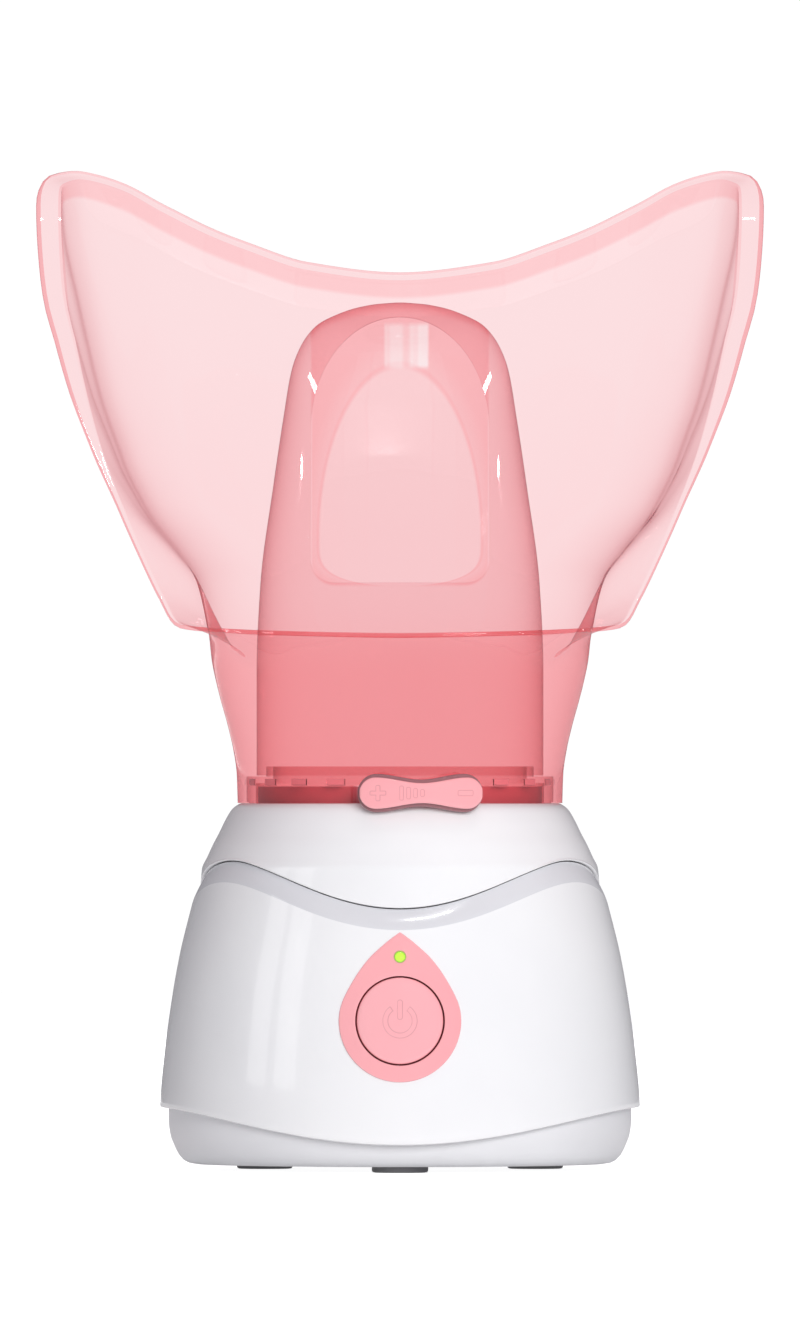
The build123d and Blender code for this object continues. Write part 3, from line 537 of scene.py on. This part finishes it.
def marked(name, colour, shade, marks):
    """Gloss plastic with shallow engraved marks, whose outlines are darkened with painted shade.

    marks(n, x, y) gives how far a point is inside a mark, in metres.
    """
    n = Nodes(name)
    at = n.add("ShaderNodeSeparateXYZ", Vector=n.add("ShaderNodeUVMap").outputs[0])
    depth = marks(n, at.outputs[0], at.outputs[1])
    inside = n.between(depth, -MARK_SOFT, MARK_SOFT, 0.0, 1.0)
    # Darker line round each mark's outline: painted shade at the engraving's edges.
    edge = n.math("SUBTRACT", 1.0, n.between(n.math("ABSOLUTE", depth), 0.0, MARK_SHADE_WIDTH, 0.0, 1.0))
    base = n.mix(n.between(n.noise(18.0), 0.35, 0.7, 0.0, 1.0), colour, shade)
    outline_shaded = n.mix(n.math("MULTIPLY", edge, 0.5), base, tuple(0.6 * c for c in colour[:3]) + (1,))
    polish = n.between(n.noise(45.0, 4.0), 0.3, 0.7, 0.17, 0.23)
    normal = n.bump(n.math("MULTIPLY", inside, -1.0), 0.6, MARK_DEPTH)
    shader = n.add("ShaderNodeBsdfPrincipled", Base_Color=outline_shaded, Roughness=polish, Coat_Weight=0.8,
                   Coat_Roughness=COAT_ROUGHNESS, Normal=normal)
    return n.finish(shader.outputs[0])


def box_mark(n, x, y, cx, cy, half_x, half_y, radius):
    """How far inside a round-cornered box."""
    dx = n.math("SUBTRACT", n.math("ABSOLUTE", n.math("SUBTRACT", x, cx)), half_x - radius)
    dy = n.math("SUBTRACT", n.math("ABSOLUTE", n.math("SUBTRACT", y, cy)), half_y - radius)
    ox, oy = n.math("MAXIMUM", dx, 0.0), n.math("MAXIMUM", dy, 0.0)
    away = n.math("SQRT", n.math("ADD", n.math("MULTIPLY", ox, ox), n.math("MULTIPLY", oy, oy)))
    inner = n.math("MINIMUM", n.math("MAXIMUM", dx, dy), 0.0)
    return n.math("SUBTRACT", radius, n.math("ADD", away, inner))


SYMBOL_R = 0.00435
SYMBOL_HALF_STROKE = 0.00075
SYMBOL_GAP_SLOPE = 0.7
SYMBOL_STEM_Y = 0.0033
SYMBOL_STEM_HALF = 0.0029
SYMBOL_STEM_CORNER = 0.0007


def power_symbol(n, x, y):
    """Ring with a gap on top and an upright bar in it, centred on the button."""
    far = n.math("SQRT", n.math("ADD", n.math("MULTIPLY", x, x), n.math("MULTIPLY", y, y)))
    from_ring = n.math("ABSOLUTE", n.math("SUBTRACT", far, SYMBOL_R))
    ring = n.math("SUBTRACT", SYMBOL_HALF_STROKE, from_ring)
    wedge = n.math("SUBTRACT", n.math("ABSOLUTE", x), n.math("MULTIPLY", y, SYMBOL_GAP_SLOPE))
    ring = n.math("MINIMUM", ring, n.math("MULTIPLY", wedge, 0.8))
    stem = box_mark(n, x, y, 0.0, SYMBOL_STEM_Y, SYMBOL_HALF_STROKE, SYMBOL_STEM_HALF, SYMBOL_STEM_CORNER)
    return n.math("MAXIMUM", ring, stem)


PLUS_X = 0.0128
PLUS_HALF = 0.0023
PLUS_HALF_STROKE = 0.0006
MINUS_HALF_STROKE = 0.0008
BARS_X = -0.006
BAR_STEP = 0.002
BAR_HALF_WIDTH = 0.00055
BAR_HALF_HEIGHTS = (0.0021, 0.00175, 0.0014, 0.00105)


def regulator_symbols(n, x, y):
    """A plus, bars that get shorter, and a minus."""
    found = box_mark(n, x, y, -PLUS_X, 0.0, PLUS_HALF, PLUS_HALF_STROKE, 0.0003)
    boxes = [(-PLUS_X, PLUS_HALF_STROKE, PLUS_HALF), (PLUS_X, PLUS_HALF, MINUS_HALF_STROKE)]
    boxes += [(BARS_X + BAR_STEP * i, BAR_HALF_WIDTH, half) for i, half in enumerate(BAR_HALF_HEIGHTS)]
    for cx, half_x, half_y in boxes:
        found = n.math("MAXIMUM", found, box_mark(n, x, y, cx, 0.0, half_x, half_y, 0.0004))
    return found


BUTTON = marked("pink_button", srgb(255, 183, 188), srgb(253, 178, 184), power_symbol)
KNOB_FACE = marked("knob_face", srgb(255, 176, 181), srgb(253, 171, 177), regulator_symbols)

# ---- base ----


def hem_height(angle):
    return WAVE_MIDDLE - WAVE_HEIGHT * math.cos(math.radians(WAVE_COUNT * angle))


def body_point(angle, v, inset, lift=0.0):
    """Point on the body: v is 0 at its lower hem, BEVEL_START at the bevel and 1 at the top edge."""
    bottom = BODY_HEM_HIGH - BODY_HEM_DROP * abs(math.cos(math.radians(angle)))**3
    top = hem_height(angle) - HEM_GAP
    bevel = top - BEVEL_HEIGHT
    if v <= BEVEL_START:
        z = bottom + (bevel - bottom) * v / BEVEL_START
        radius = interp(BODY_RADII, z)
    else:
        t = (v - BEVEL_START) / (1 - BEVEL_START)
        z = bevel + (top - bevel) * t
        edge = interp(COVER_RADII, hem_height(angle)) - BEVEL_STEP
        radius = interp(BODY_RADII, bevel) + (edge - interp(BODY_RADII, bevel)) * t**1.3
    return around(radius - inset, angle, z + lift)


turn = [360 * i / AROUND for i in range(AROUND)]
stations = [(0, WALL, 0.5), (0, 1.6, 0.1), (0, 1.0, 0), (0, 0.5, 0.08), (0, 0.15, 0.3), (0, 0.02, 0.6)]
stations += [(v, 0, 0) for v in spaced(0.02, 0.79, 36)]
stations += [(BEVEL_START - BEVEL_NEAR, 0, 0), (BEVEL_START + BEVEL_NEAR, 0, 0)]
stations += [(v, 0, 0) for v in spaced(0.82, 1.0, 10)] + [(1, WALL, 0)]
stations += [(v, WALL, 0) for v in spaced(0.95, 0.0, 14)]
rows = [[body_point(a, *station) for a in turn] for station in stations]
# The bevel strips take the greyer white, which is painted shade.
slots = [1 if v > BEVEL_START and inset == 0 and upper <= 1 else 0
         for (v, inset, _), (upper, _, _) in zip(stations, stations[1:] + stations[:1])]
body = grid_mesh("shell", rows + [rows[0]], [WHITE, BEVEL_SHADED_WHITE], slots=slots, sharp=28)


def teardrop(grow, count=20):
    """Bezel outline in XZ, from the point down the right side and back up the left."""
    table = sorted((z, x) for x, z in BEZEL_HALF)
    right = []
    for z in spaced(BEZEL_HALF[0][1], BEZEL_Z, count):
        right.append((interp(table, z), z))
    arc = [(BEZEL_R * math.cos(math.radians(t)), BEZEL_Z - BEZEL_R * math.sin(math.radians(t)))
           for t in spaced(0, 90, 24)[1:]]
    half = right + arc
    outline = half + [(-x, z) for x, z in reversed(half[1:-1])]
    grown = []
    for x, z in outline:
        away = Vector((x, z - BEZEL_Z - 3))
        grown.append((x + away.normalized().x * grow, z + away.normalized().y * grow))
    return grown


cut(body, prism("hole", teardrop(-1.6), 50, 80, WHITE))
place(body, "base", "white_plastic", "body_shell")


def barrel_y(x, z, proud):
    """Front of the body grown by proud: its -Y at a point of the XZ plane."""
    radius = interp(BODY_RADII, z) + proud
    return math.sqrt(max(1.0, radius * radius - x * x))


def on_barrel(x, z, proud):
    return Vector((x, -barrel_y(x, z, proud), z))


outline = teardrop(0)
centre = Vector((0, BEZEL_Z))
hole_edge = []
for x, z in outline:
    away = (Vector((x, z)) - centre).normalized()
    hole_edge.append(centre + away * BUTTON_HOLE_R)
rows = []
for proud in (-2.6, -1.2, 0.05, 0.3):
    rows.append([on_barrel(p.x, p.y, proud) for p in hole_edge])
for share in (0.02, 0.06, 0.15, 0.3, 0.45, 0.6, 0.75, 0.88, 0.95, 0.985):
    proud = BEZEL_PROUD if 0.02 < share < 0.97 else BEZEL_EDGE_PROUD
    rows.append([on_barrel(p.x + (x - p.x) * share, p.y + (z - p.y) * share, proud)
                 for p, (x, z) in zip(hole_edge, outline)])
for proud in (0.3, 0.0, -0.6):
    rows.append([on_barrel(x, z, proud) for x, z in outline])
place(grid_mesh("bezel", rows, [PINK_GLOSS], sharp=50), "base", "pink_gloss", "control_bezel")

rows = []
uvs = []
button_outline = [(radius, BUTTON_PROUD) for radius in (0, 0.5, 2, 4, 6, 8, 10)]
button_outline += [(11.6, 0.33), (12.3, 0.26), (12.65, 0.12), (12.8, -0.1), (BUTTON_R, -0.5)]
button_outline += [(BUTTON_R, -3.5)]
for radius, proud in button_outline:
    ring = [(radius * math.cos(math.radians(a)), radius * math.sin(math.radians(a))) for a in turn[::2]]
    rows.append([on_barrel(x, z + BEZEL_Z, proud) for x, z in ring])
    uvs.append([(x * MM, z * MM) for x, z in ring])
button = grid_mesh("button", rows, [BUTTON], uvs=uvs, sharp=50)
place(button, "button", "pink_button", "power_button")

# Dark ring behind the button's gap: a sheet of painted shade.
rows = [[on_barrel(r * math.cos(math.radians(a)), r * math.sin(math.radians(a)) + BEZEL_Z, -1.6)
         for a in turn[::2]] for r in (BUTTON_HOLE_R + 0.3, BUTTON_R - 0.6)]
place(grid_mesh("button_shade_ring", rows, [GAP_SHADE]), "base", "pink_deep")



def lamp_ring(radius, proud):
    """Circle round the lamp's middle on the front of the body."""
    corners = [(radius * math.cos(math.radians(a)), radius * math.sin(math.radians(a))) for a in turn[::8]]
    return [on_barrel(x, z + LED_Z, proud) for x, z in corners]


rows = []
for t in spaced(0, 90, 10):
    out = LED_HEIGHT * math.sin(math.radians(t))
    rows.append(lamp_ring(LED_R * math.cos(math.radians(t)), BEZEL_PROUD + out))
place(grid_mesh("lamp", rows, [LENS]), "base", "green_lens", "indicator_led")
rows = [lamp_ring(r, proud) for r, proud in ((LED_R, 0.52), (1.62, 0.6), (1.8, 0.58), (1.9, 0.5))]
LAMP_RIM = moulded("lamp_rim", srgb(186, 190, 110), srgb(176, 180, 100), 0.3)
place(grid_mesh("lamp_rim", rows, [LAMP_RIM]), "base", "green_lens")

pan = [(0, 1.8), (58, 1.8), (61, 1.85), (63.2, 2.2), (64.8, 3.0), (66.2, 4.5), (67.1, 6.1), (67.8, 7.7),
       (68.6, 9.6), (69, 11.3), (69.3, 13.4), (69.4, 15.5), (69.4, 22), (67.2, 22), (67.2, 15.5),
       (65.3, 7.7), (63.2, 4.2), (0, 4.2)]
place(lathe("pan", pan, [PAN], sharp=50), "base", "pan_plastic", "bottom_pan")
for name, angle in (("foot_front", 0), ("foot_right", 120), ("foot_left", 240)):
    at = around(FOOT_CIRCLE_R, angle, 0)
    foot = [(0, 0), (7.4, 0), (7.9, 0.08), (8.25, 0.3), (8.4, 0.7), (8.4, 1.9), (0, 1.9)]
    place(lathe(name + "_pad", foot, [RUBBER], x=at.x, y=at.y), "base", "foot_rubber", name)

# ---- cover ----


def cover_point(angle, v, inset, lift=0.0):
    hem = hem_height(angle)
    z = hem + (COVER_TOP - hem) * v
    return around(interp(COVER_RADII, z) - inset, angle, z + lift)


stations = [(v, WALL, 0) for v in spaced(0.9, 0.05, 8)] + [(0, WALL, 0.1), (0, 1.2, 0), (0, 0.3, 0.03)]
stations += [(0, 0.06, 0.15), (0, 0, 0.4)] + [(v, 0, 0) for v in spaced(0.03, 0.985, 34)]
stations += [(0.995, 0.1, 0), (1, 0.5, 0), (1, 1.2, 0), (1, WALL, -0.1)]
rows = [[cover_point(a, *station) for a in turn] for station in stations]
cover = grid_mesh("cover", rows + [rows[0]], [WHITE], sharp=50)
place(cover, "cover", "white_plastic", "top_cover")

# ---- regulator knob ----


def knob_half_height(x, length, height, waist):
    """Half height of the two-lobed outline at x along it."""
    lobe = length / 2 - height / 2
    if abs(x) > lobe:
        return math.sqrt(max(0.0, (height / 2)**2 - (abs(x) - lobe)**2))
    return (waist + (height - waist) * ramp(abs(x), 0, lobe)) / 2


def knob_piece(name, length, height, waist, r_back, r_front, rounding, materials, body_slot, node):
    """Two-lobed pad bent round Z, with rounded front edges."""
    rows = []
    uvs = []
    for u in [math.sin(math.radians(t)) for t in spaced(-90, 90, 73)]:
        x = u * length / 2
        half = knob_half_height(x, length, height, waist)
        row = []
        uv = []
        for w in [math.sin(math.radians(t)) for t in spaced(-90, 90, 33)]:
            z = w * half
            rim = min(half - abs(z), length / 2 - abs(x))
            sunk = rounding - math.sqrt(max(0.0, rounding**2 - max(0.0, rounding - rim)**2))
            row.append((x, z, r_front - sunk))
            uv.append((x * MM, z * MM))
        back = [(x, z, r_back) for x, z, _ in reversed(row)]
        rows.append(row + back)
        uvs.append(uv + uv[::-1])
    bent = []
    for row in rows:
        bent.append([around(r, KNOB_ANGLE + math.degrees(x / KNOB_BACK_R), KNOB_Z + z)
                     for x, z, r in row])
    piece = grid_mesh(name, bent, materials, uvs=uvs, sharp=40)
    return place(piece, "regulator", body_slot, node)


# The backing's mauve sides are painted shade; the face carries the lit pink.
knob_piece("knob_backing", KNOB_LENGTH, KNOB_HEIGHT, KNOB_WAIST, KNOB_R, KNOB_BACK_R, 0.8, [MAUVE_SHADE],
           "knob_mauve", "regulator_knob")
knob_piece("knob_front", KNOB_LENGTH - 2 * KNOB_RIM, KNOB_HEIGHT - 2 * KNOB_RIM,
           KNOB_WAIST - 2 * KNOB_RIM, KNOB_BACK_R - KNOB_SUNK, KNOB_FACE_R, 0.7, [KNOB_FACE],
           "pink_button", "knob_face")

# ---- mask ----


def mask_base_radius(angle, z):
    """Radius of the tray's cross-section at a height, before the rim flares."""
    if z <= HALF_WIDTHS[0][0]:
        return interp(NECK_RADII, z)
    a = math.radians(angle)
    n = interp(SQUARENESS, z)
    depth = interp(BACK_DEPTHS, z) if angle > 90 else HALF_WIDTHS[0][1]
    across = abs(math.sin(a)) / interp(HALF_WIDTHS, z)
    return (across**n + (abs(math.cos(a)) / depth)**n)**(-1 / n)


def mask_point(angle, v):
    """Outer face of the mask: v is 0 at its foot and 1 at its rim."""
    folded = min(angle % 360, 360 - angle % 360)
    top = interp(RIM_HEIGHTS, folded)
    bottom = NOTCH_TOP if folded < NOTCH_HALF_ANGLE else MASK_BOTTOM
    z = bottom + (top - bottom) * v
    flare = max(0.0, (z - FLARE_START) / (top - FLARE_START))**2
    spread = interp(RIM_RADII, folded) - mask_base_radius(folded, top)
    radius = mask_base_radius(folded, z) + spread * flare
    up = (z - MASK_BOTTOM) / (top - MASK_BOTTOM)
    step = max(0.0, (up - TRAY_STEP_START) / (1 - TRAY_STEP_START))**1.5
    return around(radius, angle, z) + MOUTH_NORMAL * TRAY_STEP * step * ramp(folded, *TRAY_STEP_ANGLES)


def flange_point(angle, share, height):
    """Point of the flange round the rim: share of its width outwards, height above it in mm."""
    folded = min(angle % 360, 360 - angle % 360)
    along = mask_point(angle + 0.5, 1) - mask_point(angle - 0.5, 1)
    outward = along.cross(MOUTH_NORMAL).normalized()
    reach = outward * interp(FLANGE_WIDTHS, folded) * share
    return mask_point(angle, 1) + reach + MOUTH_NORMAL * height


mask_turn = sorted([1.5 * i for i in range(240)] + [17.4, 17.6, 342.4, 342.6])
rows = [[around(interp(NECK_RADII, MASK_BOTTOM) - WALL, a, mask_point(a, 0).z) for a in mask_turn]]
slots = [1]
heights = [0]
for v in spaced(0, 0.9, 70) + spaced(0.905, 0.96, 10) + spaced(0.966, 1.0, 12):
    rows.append([mask_point(a, v) for a in mask_turn])
    slots.append(0)
    heights.append(v)
for share, height in ((0.12, 0.1), (0.5, 0.15), (0.85, 0.15), (1.0, 0.4), (1.04, 1.1), (1.0, 1.8),
                      (0.85, FLANGE_T)):
    rows.append([flange_point(a, share, height) for a in mask_turn])
    slots.append(1 if share < 1 and height < 1 else 2)
    heights.append(1)
uvs = [[(min(a, 360 - a) / 360, v) for a in mask_turn] for v in heights]
mask = grid_mesh("mask", rows, [PINK_CLEAR, PINK_RIM, PINK_TIP], slots=slots, sharp=60, uvs=uvs)
place(mask, "mask", "pink_clear", "face_mask")

# Low bosses round the collar, just inside the mask's wall
tab = [(TAB_R, TAB_LOW), (TAB_R + TAB_PROUD, TAB_LOW + TAB_CHAMFER),
       (TAB_R + TAB_PROUD, TAB_HIGH - TAB_CHAMFER), (TAB_R, TAB_HIGH)]
for i in range(TAB_COUNT):
    middle = 360 * (i + 0.5) / TAB_COUNT
    rows = [[around(r, middle + offset, z) for offset in spaced(-TAB_HALF_ANGLE, TAB_HALF_ANGLE, 9)]
            for r, z in tab]
    place(grid_mesh(f"collar_tab_{i + 1}", rows, [TAB_PINK], loop=False), "mask", "pink_deep")

# ---- steam hood ----


def hood_point(angle, z, inset):
    """Point on the dome, moved towards its axis by inset."""
    a = math.radians(angle)
    width = interp(HOOD_HALF_WIDTHS, z)
    front = -interp(HOOD_FRONTS, z)
    back = interp(HOOD_BACKS, z)
    spread = Vector((width * math.sin(a), -(back - front) / 2 * math.cos(a)))
    scale = max(0.35, 1 - inset / spread.length)
    lowered = z - inset * (z - HOOD_BOTTOM) / (HOOD_TOP - HOOD_BOTTOM)
    return Vector((spread.x * scale, (front + back) / 2 + spread.y * scale, lowered))


levels = [HOOD_BOTTOM + (HOOD_TOP - HOOD_BOTTOM) * math.sin(math.pi / 2 * v) for v in spaced(0, 1, 110)]
tips = [(hood_point(180, HOOD_TOP, inset) + hood_point(0, HOOD_TOP, inset)) * 0.5
        for inset in (0, HOOD_WALL)]
lining = [[tips[1]] * AROUND] + [[hood_point(a, z, HOOD_WALL) for a in turn] for z in reversed(levels)]
outside = [[hood_point(a, z, 0) for a in turn] for z in levels] + [[tips[0]] * AROUND]
slots = [2] * (len(lining) - 1) + [1] + [0] * (len(outside) - 1)
hood = grid_mesh("hood_dome", lining + outside, [HOOD_CLEAR, HOOD_EDGE, GAP_SHADE], slots=slots)

w = WINDOW_HALF_WIDTH
c = WINDOW_CORNER
window = [(w * math.cos(math.radians(t)),
           WINDOW_SHOULDER + (WINDOW_TOP - WINDOW_SHOULDER) * math.sin(math.radians(t)))
          for t in spaced(0, 180, 61)]
window += [(-w, z) for z in spaced(WINDOW_SHOULDER, WINDOW_BOTTOM + c, 12)[1:]]
window += [(-w + c - c * math.cos(math.radians(t)), WINDOW_BOTTOM + c - c * math.sin(math.radians(t)))
           for t in spaced(0, 90, 12)[1:]]
window += [(x, WINDOW_BOTTOM) for x in spaced(c - w, w - c, 12)[1:]]
window += [(w - c + c * math.sin(math.radians(t)), WINDOW_BOTTOM + c - c * math.cos(math.radians(t)))
           for t in spaced(0, 90, 12)[1:]]
window += [(w, z) for z in spaced(WINDOW_BOTTOM + c, WINDOW_SHOULDER, 12)[1:-1]]
cut(hood, prism("hood_window", window, -WINDOW_DEPTH, 60, HOOD_EDGE))
lining_slot = hood.data.materials.find("gap_shade")
bm = bmesh.new()
bm.from_mesh(hood.data)
bmesh.ops.delete(bm, geom=[f for f in bm.faces if f.material_index == lining_slot], context="FACES")
bm.to_mesh(hood.data)
bm.free()
hood.data.polygons.foreach_set("use_smooth", [True] * len(hood.data.polygons))
hood.data.set_sharp_from_angle(angle=math.radians(40))
place(hood, "hood", "pink_clear", "steam_hood")

# ---- looks of the CAD pieces that stay ----

LOOKS = {
    "white_plastic": WHITE, "pan_plastic": PAN, "inner_plastic": INNER, "black_plastic": BLACK,
    "pink_clear": PINK_CLEAR, "pink_deep": PINK_DEEP, "pink_gloss": PINK_GLOSS, "pink_button": BUTTON,
    "knob_mauve": MAUVE_SHADE, "green_lens": LENS, "board_green": BOARD, "wire_sleeve": WIRE,
    "foot_rubber": RUBBER, "silicone": SILICONE, "cup_aluminium": ALUMINIUM, "heater_metal": CAST,
    "screw_steel": STEEL, "pin_brass": BRASS,
}
for part in frame["record"]["subparts"]:
    node = frame["nodes"][part["node"]]
    node.data.materials.clear()
    node.data.materials.append(LOOKS[part["material_slot"]])
frame["nodes"]["mask_ring"].data.materials[0] = RING_CLEAR

# ---- floor, light and camera ----


def soft_box(name, at, target, width, height, power):
    light = bpy.data.lights.new(name, "AREA")
    light.shape = "RECTANGLE"
    light.size = width
    light.size_y = height
    light.energy = power
    lamp = bpy.data.objects.new(name, light)
    lamp.location = at
    lamp.rotation_euler = (Vector(target) - Vector(at)).to_track_quat("-Z", "Y").to_euler()
    bpy.context.scene.collection.objects.link(lamp)
    return lamp


FLOOR_HALF = 6000.0
FLOOR_FRONT = 7800.0
FLOOR_GLOW = 0.12
FLOOR_GLOW_SEEN = 0.7
WORLD_SEEN = 1.02
WORLD_LIGHT = 0.3

n = Nodes("floor_card")
looked_at = n.add("ShaderNodeLightPath").outputs["Is Camera Ray"]
card = n.add("ShaderNodeBsdfPrincipled", Roughness=0.7, Emission_Color=(1, 1, 1, 1),
             Emission_Strength=n.math("ADD", n.math("MULTIPLY", looked_at, FLOOR_GLOW_SEEN), FLOOR_GLOW),
             Base_Color=n.mix(n.noise(3.0), (0.86, 0.86, 0.86, 1), (0.84, 0.84, 0.845, 1)))
FLOOR = n.finish(card.outputs[0])
rows = [[Vector((x, y, 0)) for x in (-FLOOR_HALF, FLOOR_HALF)] for y in (-FLOOR_FRONT, FLOOR_HALF)]
grid_mesh("floor", rows, [FLOOR], loop=False)

world = bpy.data.worlds.new("studio")
bpy.context.scene.world = world
world.use_nodes = True
tree = world.node_tree
tree.nodes.clear()
seen = tree.nodes.new("ShaderNodeBackground")
seen.inputs["Color"].default_value = (1, 1, 1, 1)
seen.inputs["Strength"].default_value = WORLD_SEEN
lit = tree.nodes.new("ShaderNodeBackground")
lit.inputs["Color"].default_value = (0.94, 0.93, 1.0, 1)
lit.inputs["Strength"].default_value = WORLD_LIGHT
rays = tree.nodes.new("ShaderNodeLightPath")
choose = tree.nodes.new("ShaderNodeMixShader")
tree.links.new(rays.outputs["Is Camera Ray"], choose.inputs[0])
tree.links.new(lit.outputs[0], choose.inputs[1])
tree.links.new(seen.outputs[0], choose.inputs[2])
end = tree.nodes.new("ShaderNodeOutputWorld")
tree.links.new(choose.outputs[0], end.inputs["Surface"])

# Fills, which no surface mirrors
soft_box("front_fill", (0.9, -3.4, 1.1), (0, 0, 0.12), 1.6, 1.6, 82).visible_glossy = False
soft_box("overhead", (0.3, -0.2, 1.8), (0, 0, 0.1), 1.4, 1.4, 5).visible_glossy = False
soft_box("rear_fill", (-0.9, 3.4, 1.3), (0, 0, 0.12), 1.6, 1.6, 45).visible_glossy = False

# Panes that every surface mirrors, then ones for the base and the hood alone
for i in range(4):
    soft_box(f"pane_{i}", (0.035 + 0.04 * i, -0.33, 1.25), (0, -0.06, 0.08), 0.032, 0.05, 0.15)
on_base = bpy.data.collections.new("window_reflections")
on_base.objects.link(body)
on_base.objects.link(cover)
for i, (x, y) in enumerate(((-2.05, -1.3), (-2.4, -0.7))):
    window_pane = soft_box(f"window_{i}", (x, y, 0.8), (-0.045, -0.045, 0.05), 0.52, 0.9, 2.2)
    window_pane.visible_diffuse = False
    window_pane.light_linking.receiver_collection = on_base
on_hood = bpy.data.collections.new("hood_highlights")
on_hood.objects.link(hood)
for side in (-1, 1):
    low = soft_box(f"accent_low_{side + 1}", (side * 1.37, 0.43, 0.64), (0, 0, 0.206), 0.1, 0.02, 0.6)
    high = soft_box(f"accent_high_{side + 1}", (side * 1.32, 0.38, 0.83), (0, 0, 0.235), 0.5, 0.08, 3)
    for light in (low, high):
        light.visible_diffuse = False
        light.light_linking.receiver_collection = on_hood

bpy.context.scene.view_settings.view_transform = "Standard"

CAMERA_AT = (0, -6.5, 0.110)
AIM_AT = (0, 0, 0.1513)
SEEN_HEIGHT = 0.3993
SENSOR = 36.0

camera = bpy.data.objects.new("camera", bpy.data.cameras.new("camera"))
bpy.context.scene.collection.objects.link(camera)
camera.location = CAMERA_AT
aim = Vector(AIM_AT) - camera.location
camera.rotation_euler = aim.to_track_quat("-Z", "Y").to_euler()
camera.data.sensor_fit = "VERTICAL"
camera.data.sensor_height = SENSOR
camera.data.lens = SENSOR * aim.length / SEEN_HEIGHT
camera.data.clip_end = 60.0
bpy.context.scene.camera = camera
